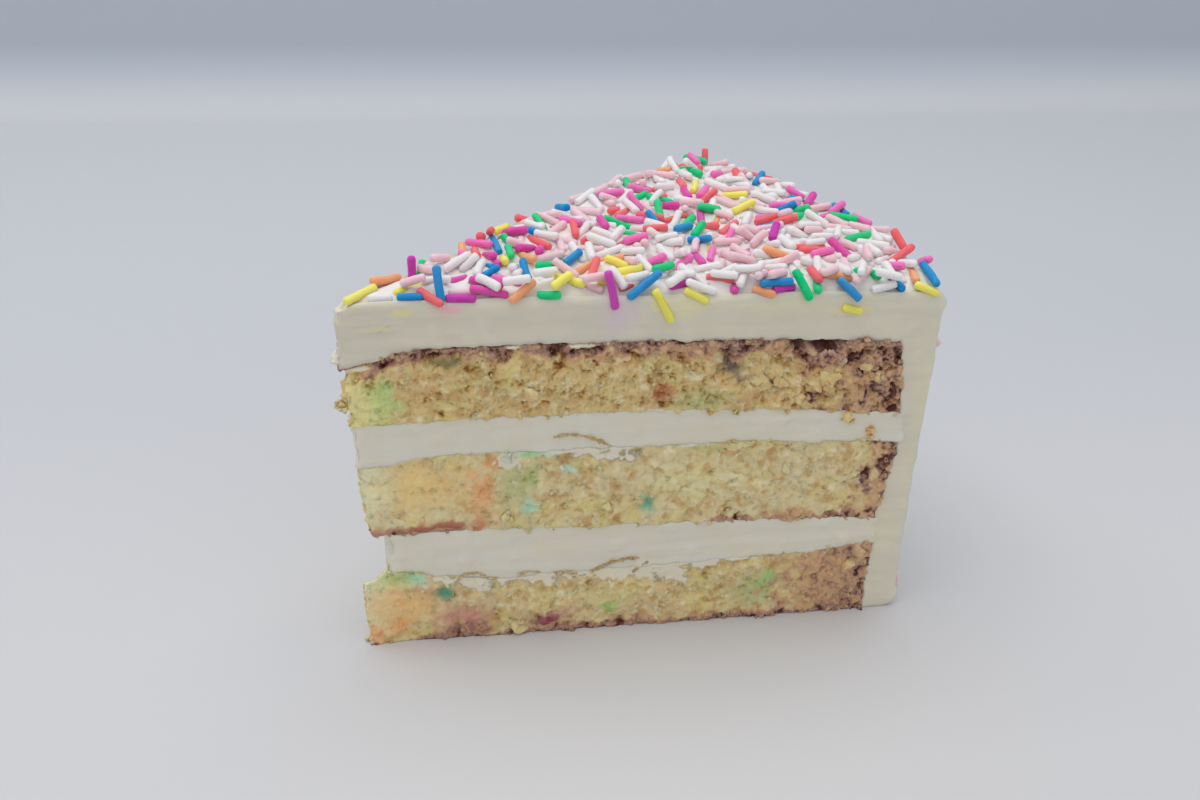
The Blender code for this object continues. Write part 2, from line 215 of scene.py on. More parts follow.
def with_tip(place, radius, setback):
    """Moves a point near the blunt tip out, so that the tip stands at its set-back from the apex."""
    push = max(TIP_BLUNT - setback, 0)
    return place + TOWARDS_TIP * push * math.exp(-(radius - TIP_BLUNT) / TIP_PUSH_REACH)


def side_radius(height, angle):
    """Radius of the icing's side at a height: its waves, its lip at the top and its spreading foot."""
    along, back = polar(CAKE_RADIUS, angle)
    wave = SIDE_WAVE * noise.noise(Vector((along, back, height)) / SIDE_WAVE_LENGTH)
    lip = SHOULDER_LIP * math.exp(-(((ICING_TOP.middle - SHOULDER - height) / SHOULDER) ** 2))
    foot = FOOT_SPREAD * math.exp(-((height / FOOT_HEIGHT) ** 2))
    return CAKE_RADIUS + wave + lip + foot


# ---------------------------------------------------------------- colours, nodes and mesh helpers


def linear(hex_colour):
    """An sRGB hex colour as linear red, green and blue."""
    channels = [int(hex_colour[i : i + 2], 16) / 255 for i in (0, 2, 4)]
    return tuple(c / 12.92 if c <= 0.04045 else ((c + 0.055) / 1.055) ** 2.4 for c in channels)


def add_node(tree, kind, output, inputs=None, **settings):
    """Adds a node with its settings and the values or links of its inputs, and gives one of its outputs."""
    made = tree.nodes.new(kind)
    for name, value in settings.items():
        setattr(made, name, value)
    for socket, value in (inputs or {}).items():
        if isinstance(value, bpy.types.NodeSocket):
            tree.links.new(value, made.inputs[socket])
        else:
            made.inputs[socket].default_value = value
    return made.outputs[output] if made.outputs else made


def new_material(name):
    """An empty node material and its tree."""
    made = bpy.data.materials.new(name)
    made.use_nodes = True
    made.node_tree.nodes.clear()
    return made, made.node_tree


def add_object(name, data):
    """Links a new object to the scene."""
    made = bpy.data.objects.new(name, data)
    bpy.context.scene.collection.objects.link(made)
    return made


def add_piece(name, mesh, finish, replaced=None):
    """Stands a mesh at the tip as a piece of the slice, riding on the root body."""
    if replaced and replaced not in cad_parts:
        raise RuntimeError(f"the frame has no node {replaced} for {name} to replace")
    mesh.materials.append(finish)
    mesh.shade_smooth()
    piece = add_object(name, mesh)
    piece.location = TIP
    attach(piece, "root")
    if replaced:
        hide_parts(replaced)
    return piece


def unit_shell(along, around, rows):
    """The six sides of a unit cube, divided evenly along, around and up, and welded into one skin."""
    shell = bmesh.new()
    sides = (
        (along, around, Vector((1, 0, 0)), Vector((0, 1, 0)), Vector((0, 0, 1))),
        (along, rows, Vector((1, 0, 0)), Vector((0, 0, 1)), Vector((0, 1, 0))),
        (around, rows, Vector((0, 1, 0)), Vector((0, 0, 1)), Vector((1, 0, 0))),
    )
    for across, up, across_axis, up_axis, out in sides:
        turn = Matrix((across_axis, up_axis, out)).transposed().to_4x4()
        for shift in (0, 1):
            centre = (across_axis + up_axis) / 2 + out * shift
            place = Matrix.Translation(centre) @ turn
            bmesh.ops.create_grid(shell, x_segments=across, y_segments=up, size=0.5, matrix=place)
    bmesh.ops.remove_doubles(shell, verts=shell.verts, dist=WELD)
    return shell


def lump_shape(fineness):
    """The points and faces of a small ball, from which crumbs and lumps are torn."""
    ball = bmesh.new()
    bmesh.ops.create_icosphere(ball, subdivisions=fineness, radius=0.5)
    points = [vert.co.copy() for vert in ball.verts]
    faces = [[vert.index for vert in face.verts] for face in ball.faces]
    ball.free()
    return points, faces


LUMP_SHAPES = {fineness: lump_shape(fineness) for fineness in (1, 2, 3)}
# The skin of a torn lump: the length of its swells and of its grit in widths, and how faint the grit is
SWELL_LENGTH = 0.38
GRIT_LENGTH = 0.15
GRIT_SHARE = 0.25


def add_lump(block, fineness, shape, roughness):
    """Adds a torn ball to a block, shaped by a matrix and roughened by a share of its width."""
    points, faces = LUMP_SHAPES[fineness]
    width = shape.median_scale
    made = []
    for point in points:
        place = shape @ point
        place += noise.noise_vector(place / (SWELL_LENGTH * width)) * width * roughness
        place += noise.noise_vector(place / (GRIT_LENGTH * width)) * width * roughness * GRIT_SHARE
        made.append(block.verts.new((place.x, place.y, max(place.z, 0))))
    for face in faces:
        block.faces.new([made[corner] for corner in face])
    return made


def mesh_from(block, name):
    """Finishes a block as a mesh with its faces pointing out."""
    bmesh.ops.recalc_face_normals(block, faces=block.faces)
    mesh = bpy.data.meshes.new(name)
    block.to_mesh(mesh)
    block.free()
    return mesh


def face_normal(around_share):
    """The outward direction of the front or back cut face, or None between them."""
    if around_share < TINY:
        return FRONT_NORMAL
    return BACK_NORMAL if around_share > 1 - TINY else None


# ---------------------------------------------------------------- torn crumb

RAGGED_LENGTH = 2.6 * MM
RAGGED_FINE_LENGTH = 1.0 * MM
RAGGED_DEPTH = 0.50
RAGGED_FINE_DEPTH = 0.26
RIM_BITE_LENGTH = 2.2 * MM
RIM_BITE_DEPTH = 0.60
RIM_BITE_FINE_DEPTH = 0.25
RIM_BITE_PLANE = 5.1 * MM
CORNER_LOSS = 3.0 * MM
# Where the bottom sponge's corner begins to crumble and where it is gone, in millimetres from the tip,
# and the same behind the front face, there also by how far back it is
CORNER_REACH = (7.0, 1.0)
CORNER_REACH_BEHIND = (13.0, 6.5)
CORNER_BACK = (0.3, 3.0)
CORNER_SHARE_BEHIND = 0.9


def corner_loss(radius, back):
    """How far the bottom sponge's corner crumbled away at a place, more so behind the front face."""
    behind = smooth(*CORNER_BACK, back) * smooth(*CORNER_REACH_BEHIND, radius)
    return CORNER_LOSS * (smooth(*CORNER_REACH, radius) + CORNER_SHARE_BEHIND * behind)


def ragged(level, along, back):
    """How far crumb and cream bite into each other at a seam, and what crumbled away there."""
    if level in (UNDERSIDE, ICING_TOP):
        return 0
    place = Vector((along, back, level.middle))
    coarse = noise.noise(place / RAGGED_LENGTH)
    fine = noise.noise(place / RAGGED_FINE_LENGTH)
    lost = corner_loss(math.hypot(along, back) / MM, back / MM) if level is BOTTOM_SPONGE_TOP else 0
    return (RAGGED_DEPTH * coarse + RAGGED_FINE_DEPTH * fine) * MM - lost


def rim_bite(height, angle):
    """How far crumb and icing bite into each other at the rim."""
    place = Vector((angle * CAKE_RADIUS, RIM_BITE_PLANE, height))
    coarse = noise.noise(place / RIM_BITE_LENGTH)
    return (RIM_BITE_DEPTH * coarse + RIM_BITE_FINE_DEPTH * noise.noise(place / MM)) * MM


class Gap(NamedTuple):
    """A place where the icing stands off the crust: its middle, half width and depth on the front face."""

    middle: float
    half: float
    depth: float


CRUST_GAPS = (
    Gap(19.0, 3.0, 0.45),
    Gap(26.5, 2.0, 0.40),
    Gap(39.0, 5.0, 0.40),
    Gap(60.5, 3.0, 0.50),
    Gap(86.6, 5.3, 2.2),
)
CRUST_GAP_REACH = 9 * MM


def crust_gap(along, back):
    """Depth of the gap between the icing and the crust, near the front cut face."""
    depth = 0
    for gap in CRUST_GAPS:
        share = abs(along / MM - gap.middle) / gap.half
        if share < 1:
            depth = max(depth, gap.depth * math.sqrt(1 - share * share))
    return depth * MM * max(0, 1 - back / CRUST_GAP_REACH)


# How rough each sponge tore
TORN = {"sponge_top": 1.5, "sponge_middle": 0.75, "sponge_bottom": 0.85}
KNIFE_PLANE = 0.18
ABOVE_PLANE = 0.35
BEND = 0.5 * MM
BEND_LENGTH = 2.3 * MM
GRIT_SPACING = 0.55 * MM
# How much fainter and how much finer each octave of the torn crumb is, and how many there are
FALLOFF, FINER, OCTAVES = 0.65, 2.1, 4
HALF_CELL = Vector((0.5, 0.5, 0.5))
# Noise is read this far apart for neighbouring clods and pores, so that each has its own
CLOD_STEP, PORE_STEP = 3.7, 7.9
# Which clods stand, and how far each reaches in spacings
CLOD_STANDS = (0.05, 0.45)
CLOD_REACH = 0.65
# The widest pore in spacings, and what is taken off every one, so that some close
PORE_WIDTH, PORE_LESS = 0.46, 0.02


def crumb_relief(place, rough, settings):
    """How far torn crumb stands out: a knife's plane with hollows, clods, grit and steam pores."""
    bent = place + noise.noise_vector(place / BEND_LENGTH) * BEND
    torn = noise.fractal(bent / settings.clump, FALLOFF, FINER, OCTAVES)
    out = settings.clump_depth * rough * min(torn, blend(KNIFE_PLANE, torn, ABOVE_PLANE))
    distances, cells = noise.voronoi(bent / settings.clod)
    standing = smooth(*CLOD_STANDS, noise.noise(cells[0] * CLOD_STEP + HALF_CELL))
    out += settings.clod_depth * rough * standing * max(0, CLOD_REACH - distances[0])
    out += settings.grit_depth * rough * noise.noise(place / GRIT_SPACING)
    distances, cells = noise.voronoi(bent / settings.pore_spacing)
    width = PORE_WIDTH * noise.noise(cells[0] * PORE_STEP + HALF_CELL) - PORE_LESS
    if distances[0] < width:
        out -= settings.pore_depth * min(rough, 1) * math.sqrt(1 - (distances[0] / width) ** 2)
    return out


class Spot(NamedTuple):
    """A strand melted into batter or cream: its place on the front face, its reach, colour and strength."""

    along: float
    height: float
    width: float
    tall: float
    colour: str
    strength: float


MELTED = {
    "leaf": "c8ce94",
    "green": "9cd67c",
    "lime": "f7f0b0",
    "aqua": "c8f2dc",
    "teal": "4ea88a",
    "olive": "6f7448",
    "amber": "fbd996",
    "orange": "fcb078",
    "rust": "c9694a",
    "pink": "f6bcc6",
    "lilac": "e6cfe2",
    "magenta": "c8507c",
    "mauve": "d69a8c",
    "smoke": "75665f",
    "gold": "f5e69c",
    "cream": "f0e7d0",
    "curd": "eee2b8",
    "sage": "e9eed8",
    "apricot": "e6b48c",
    "coral": "c8846c",
    "brick": "b8705c",
    "plum": "8a4a54",
    "whey": "f4f1c8",
}

SPOTS = {
    "sponge_top": (
        Spot(1.5, 54.5, 6.5, 7.5, "lime", 0.95),
        Spot(6.2, 55.8, 2.4, 4.6, "green", 0.72),
        Spot(9.6, 53.0, 2.0, 2.4, "green", 0.22),
        Spot(3.0, 53.0, 6.0, 6.0, "gold", 0.60),
        Spot(5.0, 60.0, 5.0, 2.0, "amber", 0.80),
        Spot(17.9, 62.0, 3.8, 1.4, "olive", 0.80),
        Spot(15.5, 55.6, 3.2, 0.9, "rust", 0.35),
        Spot(49.2, 56.0, 6.0, 5.0, "lime", 0.35),
        Spot(57.3, 54.1, 2.6, 2.8, "rust", 0.75),
        Spot(65.1, 51.9, 6.6, 2.6, "leaf", 0.75),
        Spot(69.8, 61.2, 3.0, 4.4, "smoke", 0.95),
        Spot(71.4, 57.6, 2.4, 2.4, "smoke", 0.35),
        Spot(74.4, 52.4, 3.4, 2.2, "rust", 0.40),
        Spot(88.9, 55.6, 2.2, 2.8, "amber", 0.95),
        Spot(84.0, 59.6, 6.0, 2.4, "brick", 0.45),
        Spot(90.0, 52.6, 5.0, 2.4, "brick", 0.25),
        Spot(102.0, 53.4, 1.4, 2.4, "coral", 0.90),
        Spot(95.0, 57.4, 4.4, 3.0, "apricot", 0.90),
        Spot(86.0, 62.4, 8.0, 1.6, "mauve", 0.50),
        Spot(98.6, 61.6, 3.2, 2.0, "coral", 0.40),
        Spot(99.0, 56.4, 3.0, 2.2, "amber", 0.70),
        Spot(94.4, 52.0, 3.4, 2.2, "apricot", 0.45),
    ),
    "sponge_middle": (
        Spot(2.5, 37.5, 5.0, 8.5, "whey", 0.95),
        Spot(12.5, 36.5, 9.5, 6.5, "amber", 0.90),
        Spot(23.6, 33.6, 3.0, 7.0, "orange", 0.62),
        Spot(26.4, 40.4, 2.0, 1.6, "orange", 0.70),
        Spot(30.0, 35.6, 4.4, 7.6, "leaf", 0.72),
        Spot(33.0, 38.0, 1.5, 3.2, "green", 0.30),
        Spot(32.9, 43.4, 3.6, 0.8, "green", 0.80),
        Spot(40.5, 38.2, 1.3, 1.2, "aqua", 0.95),
        Spot(32.8, 30.8, 1.8, 1.8, "aqua", 0.80),
        Spot(55.7, 30.0, 1.7, 2.2, "teal", 0.80),
        Spot(55.7, 27.8, 2.2, 2.2, "aqua", 0.40),
        Spot(10.0, 26.0, 11.0, 1.3, "brick", 1.10),
        Spot(8.0, 25.6, 5.0, 0.7, "plum", 0.80),
        Spot(15.6, 26.6, 4.4, 1.7, "brick", 0.95),
        Spot(14.6, 26.0, 4.4, 0.8, "plum", 0.90),
        Spot(15.8, 29.8, 3.4, 1.3, "curd", 0.90),
        Spot(22.4, 27.0, 3.4, 1.4, "coral", 0.60),
        Spot(6.4, 28.6, 3.0, 1.4, "curd", 0.60),
        Spot(66.1, 41.6, 5.0, 1.8, "leaf", 0.55),
        Spot(62.0, 34.0, 8.0, 4.4, "lime", 0.50),
    ),
    "sponge_bottom": (
        Spot(1.5, 11.5, 5.0, 8.5, "whey", 0.95),
        Spot(7.6, 15.6, 4.6, 2.2, "green", 0.50),
        Spot(7.4, 13.6, 4.6, 1.0, "gold", 0.80),
        Spot(11.0, 14.6, 2.6, 1.9, "aqua", 0.75),
        Spot(16.0, 10.9, 2.2, 1.9, "teal", 1.05),
        Spot(14.2, 15.9, 1.6, 1.0, "orange", 1.00),
        Spot(6.6, 8.8, 7.5, 4.8, "amber", 1.15),
        Spot(5.6, 9.4, 4.4, 3.2, "orange", 0.70),
        Spot(9.0, 12.6, 5.0, 1.0, "coral", 0.50),
        Spot(12.4, 11.4, 3.2, 2.4, "apricot", 0.50),
        Spot(2.2, 2.4, 1.6, 2.6, "orange", 1.00),
        Spot(7.2, 4.0, 2.6, 2.2, "orange", 0.80),
        Spot(19.6, 4.6, 6.8, 4.4, "mauve", 0.90),
        Spot(21.4, 1.6, 5.0, 2.2, "plum", 0.75),
        Spot(35.4, 2.4, 4.0, 2.6, "plum", 0.80),
        Spot(36.8, 3.2, 1.8, 1.4, "magenta", 0.40),
        Spot(40.0, 4.6, 4.0, 1.8, "mauve", 0.50),
        Spot(49.1, 4.3, 2.0, 1.8, "green", 0.65),
        Spot(46.0, 8.0, 10.0, 3.6, "lime", 0.50),
        Spot(78.6, 7.2, 5.6, 5.4, "leaf", 0.85),
        Spot(81.6, 9.8, 2.2, 3.0, "green", 0.55),
    ),
}


# Cream that the knife dragged over the crumb of the front face
SMEARS = {
    "sponge_top": (
        Spot(3.4, 61.4, 2.2, 0.7, "cream", 0.8),
        Spot(29.3, 64.5, 1.8, 0.5, "cream", 1.0),
        Spot(42.6, 64.3, 3.2, 0.6, "cream", 1.0),
        Spot(60.6, 62.8, 3.4, 1.6, "cream", 0.5),
        Spot(56.0, 50.2, 2.4, 0.7, "cream", 0.9),
    ),
    "sponge_middle": (
        Spot(29.2, 41.2, 2.4, 2.4, "cream", 1.3),
        Spot(33.0, 42.1, 3.4, 0.9, "sage", 0.6),
        Spot(32.6, 42.3, 2.8, 0.7, "green", 1.1),
        Spot(37.2, 42.6, 2.4, 0.8, "sage", 1.0),
        Spot(43.6, 42.6, 5.6, 1.2, "cream", 1.3),
        Spot(48.2, 41.2, 2.0, 1.5, "cream", 1.1),
        Spot(51.6, 40.2, 1.6, 1.2, "cream", 0.7),
        Spot(50.6, 43.0, 3.0, 1.0, "cream", 1.1),
        Spot(64.0, 42.6, 4.0, 0.8, "cream", 0.9),
        Spot(85.6, 42.6, 4.0, 0.9, "cream", 1.0),
        Spot(41.0, 38.0, 1.2, 1.0, "curd", 0.7),
        Spot(66.6, 33.2, 2.6, 1.0, "curd", 0.80),
        Spot(71.6, 35.0, 4.4, 0.8, "curd", 0.80),
        Spot(59.6, 38.0, 2.8, 0.8, "curd", 0.80),
    ),
    "sponge_bottom": (
        Spot(14.6, 14.8, 1.4, 1.4, "cream", 1.0),
        Spot(21.6, 14.2, 5.0, 2.0, "cream", 1.5),
        Spot(28.4, 14.2, 3.0, 1.2, "cream", 1.3),
        Spot(34.6, 14.0, 4.4, 1.5, "cream", 1.4),
        Spot(41.6, 14.2, 4.2, 1.2, "cream", 1.3),
        Spot(48.6, 14.2, 4.2, 2.0, "cream", 1.5),
        Spot(54.0, 14.4, 4.2, 2.3, "cream", 1.5),
        Spot(60.0, 14.0, 3.4, 3.0, "cream", 1.4),
        Spot(62.8, 11.4, 1.7, 1.9, "cream", 1.0),
        Spot(67.4, 14.6, 3.4, 1.6, "cream", 1.2),
        Spot(74.6, 15.2, 4.2, 0.9, "cream", 1.1),
        Spot(88.6, 16.2, 5.0, 0.8, "cream", 1.0),
    ),
}


class Band(NamedTuple):
    """Browned crumb along an edge: its start and end, how deep it goes and how dark it is."""

    edge: str
    start: float
    end: float
    deep: float
    dark: float


BANDS = {
    "sponge_top": (Band("top", 2, 110, 3.8, 0.62), Band("top", 62, 110, 5.5, 0.50),
                   Band("top", 66, 75, 5.4, 1.0)),
    "sponge_middle": (Band("foot", -2, 22, 2.2, 0.62), Band("foot", 67, 79, 1.4, 0.60),
                      Band("foot", 77, 91, 2.2, 0.42), Band("foot", 88, 110, 1.6, 0.62)),
    "sponge_bottom": (Band("foot", 9, 110, 2.2, 0.70), Band("foot", 13, 30, 3.6, 0.55),
                      Band("foot", 59, 73, 4.6, 0.52)),
}
# A thin broken line of the darkest crust along an edge, and its width in millimetres; along the top
# sponge's top it also paints the shade in the seam under the icing
EDGE_LINES = {"sponge_top": ("top", 0.55), "sponge_bottom": ("foot", 0.60)}


class RimCrust(NamedTuple):
    """The crust at a rim: how deep, how dark and soft-edged its clods are, and how browned all of it is."""

    deep: float
    dark: float
    soft: float
    glow: float


RIM_CRUSTS = {
    "sponge_top": (RimCrust(20.0, 0.92, 0.08, 0.32),),
    "sponge_middle": (RimCrust(8.5, 0.92, 0.08, 0.28),),
    "sponge_bottom": (RimCrust(24.0, 0.56, 0.42, 0.40), RimCrust(6.0, 0.80, 0.04, 0.36)),
}
SKIN_CRUST = 0.9
BAND_FADE = 3
# How uneven a band's depth is, its least share, and the share of it that is fully browned
BAND_UNEVEN, BAND_LEAST, BAND_SOLID = 0.8, 0.2, 0.25
EDGE_BROKEN = (-0.25, 0.25)
# Patches, mottles, clods and specks of crust: their length, and where their noise is read
CRUST_PATCH = 8 * MM, Vector((3.3, 7.7, 1.1))
CRUST_MOTTLE = 2.2 * MM, Vector((0, 4.4, 0))
CRUST_CLOD = 3.0 * MM, Vector((2.6, 0, 8.3))
CRUST_SPECK = 0.9 * MM, Vector((0, 0, 0))


def noise_at(place, length, offset):
    """Noise of a length, read at an offset."""
    return noise.noise(place / length + offset)


def crust_at(name, place, up, height, radius, rim):
    """How browned the crumb is at a place: 0 for pale crumb, 1 for the darkest crust."""
    patch = noise_at(place, *CRUST_PATCH)
    mottle = noise_at(place, *CRUST_MOTTLE)
    fine = noise_at(place, *CRUST_SPECK)
    from_edge = {"top": (1 - up) * height / MM, "foot": up * height / MM}
    crust = 0
    for band in BANDS[name]:
        begun = smooth(band.start, band.start + BAND_FADE, radius / MM)
        ends = begun * (1 - smooth(band.end - BAND_FADE, band.end, radius / MM))
        deep = band.deep * max(BAND_LEAST, 1 + BAND_UNEVEN * patch + BAND_UNEVEN * mottle)
        inside = 1 - smooth(BAND_SOLID * deep, deep, from_edge[band.edge])
        crust = max(crust, band.dark * ends * inside)
    # The edge line: darkest crust, and at the top sponge also painted shade of the seam under the icing
    if name in EDGE_LINES:
        edge, width = EDGE_LINES[name]
        broken = smooth(*EDGE_BROKEN, mottle + 0.7 * patch + 0.10)
        crust = max(crust, broken * (1 - smooth(0.3 * width, width, from_edge[edge])))
    for edge in RIM_CRUSTS[name]:
        reach = 1 - (rim - radius) / (edge.deep * MM)
        if reach <= 0:
            continue
        clods = noise_at(place, *CRUST_CLOD)
        crust = max(crust, edge.glow * smooth(-0.1, 0.8, reach + 0.25 * mottle + 0.25 * clods))
        dark = clods + 0.6 * mottle + 0.35 * fine + 0.65 * (reach - 0.48)
        crust = max(crust, edge.dark * smooth(-edge.soft, 0.45 + edge.soft, dark))
    if name == "sponge_top" and up > 1 - TINY:
        crust = SKIN_CRUST
    return min(max(crust * (1 + 0.5 * fine), 0), 1)


FRAY_LENGTH = 2.2 * MM
FRAY_FINE_LENGTH = 0.8 * MM
STAIN_TORN = 0.4
# A spot's full colour ends and its last trace ends at these shares of its reach
STAIN_FADE = (0.15, 1.45)


def stain_at(spots, along, height, place, torn=STAIN_TORN):
    """The colour that melted strands give at a place, and how strong it is, with edges torn by a share."""
    colour = Vector((0, 0, 0))
    weight = 0
    fray = 1 + torn * (noise.noise(place / FRAY_LENGTH) + 0.6 * noise.noise(place / FRAY_FINE_LENGTH))
    for spot in spots:
        across = (along / MM - spot.along) / spot.width
        up = (height / MM - spot.height) / spot.tall
        share = spot.strength * (1 - smooth(*STAIN_FADE, math.hypot(across, up) * fray))
        if share > 0:
            colour += Vector(linear(MELTED[spot.colour])) * share
            weight += share
    if not weight:
        return (0, 0, 0, 0)
    return (*(colour / weight), min(weight, 1))


BACK_SPOT_SEED = 31
BACK_SPOT_REACH = (6, 98)
BACK_SPOT_MARGIN = 2
BACK_SPOT_STRENGTH = 0.7
WIDE_SPOT = 6


def scattered_spots():
    """Melted strands for the back cut face, in the same colours as the front's, in other places."""
    draw = random.Random(BACK_SPOT_SEED)
    spots = {}
    for name, front in SPOTS.items():
        low = LAYERS[name].foot.middle / MM + BACK_SPOT_MARGIN
        high = LAYERS[name].top.middle / MM - BACK_SPOT_MARGIN
        spots[name] = []
        for spot in front:
            if spot.width < WIDE_SPOT:
                along, height = draw.uniform(*BACK_SPOT_REACH), draw.uniform(low, high)
                strength = BACK_SPOT_STRENGTH * spot.strength
                spots[name].append(spot._replace(along=along, height=height, strength=strength))
    return spots


BACK_SPOTS = scattered_spots()


class Crumb(NamedTuple):
    """A point of a sponge's skin: its place, and how browned, raised and stained it is."""

    place: Vector
    crust: float
    relief: float
    stain: tuple


class LayerPoint(NamedTuple):
    """A point of a layer before its faces are torn: its place, its distance from the tip, its bounds."""

    place: Vector
    radius: float
    setback: float
    rim: float
    bite: float
    foot: float
    top: float


def layer_point(layer, along_share, around_share, up, past_rim=0, past_seam=0):
    """The point of a layer at its shares along, around and up; it runs on past its rim and its seams."""
    setback = blend(layer.foot_tip, layer.top_tip, up)
    rim = blend(layer.foot_rim, layer.top_rim, up)
    angle = around_share * SLICE_ANGLE
    bite = rim_bite(blend(layer.foot.middle, layer.top.middle, up), angle)
    radius = blend(max(setback, TIP_BLUNT), rim + bite + past_rim, along_share)
    along, back = polar(radius, angle)
    foot = level_height(layer.foot, along, back) + ragged(layer.foot, along, back) - past_seam
    top = level_height(layer.top, along, back) + ragged(layer.top, along, back) + past_seam
    if layer.top is TOP_SPONGE_TOP:
        top -= crust_gap(along, back)
    place = with_tip(Vector((along, back, blend(foot, top, up))), radius, setback)
    return LayerPoint(place, radius, setback, rim, bite, foot, top)


# A sponge is smoother near its tip, from the second distance in millimetres down to the first
TIP_CALM = (4, 36)
TIP_ROUGH = 0.6
CRUST_ROUGH = 0.6
ROUGH_CLOUD = 13 * MM
TEAR_LENGTH = 1.1 * MM
TEAR_MARGIN = 0.1
TEAR_RISE = 1 / TEAR_MARGIN
# The bottom sponge's top is calm from the first distance on and torn up to the second, in millimetres
CORNER_TORN = (7.0, 5.5)
SEAM_REACH = 1.2
SEAM_SINK = 0.05 * MM
SMEAR_PROUD = 0.05 * MM
SMEAR_TORN = 0.75
SMEAR_EDGE = (0.22, 0.72)
SMEAR_FILL = 0.25
SMEAR_STRENGTH = 1.3
# Smeared cream on the crumb gets this painted relief, which sets its painted highlight and shade
SMEAR_RELIEF = 0.3
SMEAR_SINK = 0.2 * MM


def crumb_point(name, along_share, around_share, up, crumb, cream):
    """Where a point of a sponge lies, given its shares along, around and up, and how it looks there."""
    layer = LAYERS[name]
    at = layer_point(layer, along_share, around_share, up)
    place = at.place
    crust = crust_at(name, place, up, at.top - at.foot, at.radius, at.rim)
    rough = TORN[name] * blend(TIP_ROUGH, 1, smooth(*TIP_CALM, at.radius / MM))
    rough = rough * (1 + 0.5 * noise.noise(place / ROUGH_CLOUD)) + CRUST_ROUGH * crust
    relief = crumb_relief(place, rough, crumb)
    if layer.top is BOTTOM_SPONGE_TOP and up > 1 - TINY:
        place.z += relief * smooth(*CORNER_TORN, at.radius / MM)
    front = around_share < 0.5
    stain = stain_at((SPOTS if front else BACK_SPOTS)[name], at.radius, place.z, place)
    smeared = 0
    if front:
        fill = 1 - SMEAR_FILL * relief / crumb.clump_depth
        *colour, weight = stain_at(SMEARS[name], at.radius, place.z, place, SMEAR_TORN)
        smeared = smooth(*SMEAR_EDGE, weight * fill)
    if smeared:
        mixed = [blend(*pair, smeared) for pair in zip(stain[:3], colour)]
        stain = (*mixed, blend(stain[3], SMEAR_STRENGTH, smeared))
        crust *= 1 - smeared
    normal = face_normal(around_share)
    if normal:
        inside = min(max(up, 0), max(1 - up, 0), TEAR_MARGIN)
        torn = noise.noise_vector(place / TEAR_LENGTH) * crumb.tear * inside * TEAR_RISE
        rough_out = CRUMB_RELIEF * noise.noise(place / CRUMB_LUMP) + relief
        from_seam = min(up, 1 - up) * (at.top - at.foot) / MM
        rough_out = blend(max(rough_out, -SEAM_SINK), rough_out, smooth(0.0, SEAM_REACH, from_seam))
        smooth_out = max(cream_face(place, normal, cream) + SMEAR_PROUD, rough_out - SMEAR_SINK)
        place += normal * blend(rough_out, smooth_out, smeared) + torn * (1 - smeared)
    if along_share < TINY:
        place += TOWARDS_TIP * relief
    return Crumb(place, crust, blend(relief / crumb.clump_depth, SMEAR_RELIEF, smeared), stain)


class Chip(NamedTuple):
    """A large loose crumb on the front face: its place in millimetres, width, colour and strength."""

    along: float
    height: float
    out: float
    width: float
    colour: str
    strength: float


CHIPS = {
    "sponge_top": (
        Chip(-0.9, 54.4, -0.5, 1.9, "amber", 0.45),
        Chip(-1.6, 53.8, -0.6, 1.3, "lime", 0.45),
        Chip(-0.4, 53.2, -0.3, 1.7, "lime", 0.60),
        Chip(10.6, 59.6, 0.2, 2.0, "lime", 0.20),
        Chip(24.6, 58.6, 0.2, 2.2, "lime", 0.20),
        Chip(33.0, 55.0, 0.2, 2.4, "lime", 0.15),
        Chip(71.6, 49.2, -0.1, 1.4, "leaf", 0.40),
        Chip(76.0, 55.6, -0.5, 3.6, "lime", 0.22),
        Chip(83.6, 51.6, 0.3, 1.8, "amber", 0.30),
        Chip(88.9, 55.6, -0.4, 4.0, "amber", 0.55),
        Chip(79.6, 55.0, -0.4, 3.4, "amber", 0.25),
        Chip(96.2, 57.8, -0.2, 2.6, "apricot", 0.35),
        Chip(98.8, 55.4, -0.2, 2.4, "apricot", 0.35),
        Chip(93.6, 47.2, 0.3, 2.0, "amber", 0.85),
        Chip(94.8, 46.0, 0.2, 1.2, "amber", 0.70),
        Chip(99.1, 43.6, 0.2, 1.8, "orange", 0.45),
        Chip(99.3, 42.2, 0.2, 1.2, "amber", 0.60),
        Chip(103.4, 47.0, 0.1, 1.2, "orange", 0.40),
    ),
    "sponge_middle": (
        Chip(16.0, 40.4, 0.2, 1.1, "lime", 0.30),
        Chip(28.0, 28.6, 0.2, 2.2, "lime", 0.30),
        Chip(46.0, 38.4, 0.2, 1.6, "lime", 0.20),
        Chip(47.6, 30.0, 0.3, 2.6, "lime", 0.25),
        Chip(83.0, 36.0, -0.2, 2.4, "lime", 0.25),
        Chip(98.0, 32.0, -0.6, 2.0, "apricot", 0.50),
        Chip(101.2, 33.4, -0.1, 2.4, "apricot", 0.60),
    ),
    "sponge_bottom": (
        Chip(30.4, 1.8, -0.6, 3.3, "lime", 0.30),
        Chip(45.0, 11.0, 0.2, 1.4, "lime", 0.20),
        Chip(60.0, 4.8, 0.2, 1.3, "lime", 0.20),
        Chip(98.6, 11.8, -0.3, 2.8, "apricot", 0.50),
        Chip(100.6, 15.0, -0.2, 2.6, "mauve", 0.50),
    ),
}

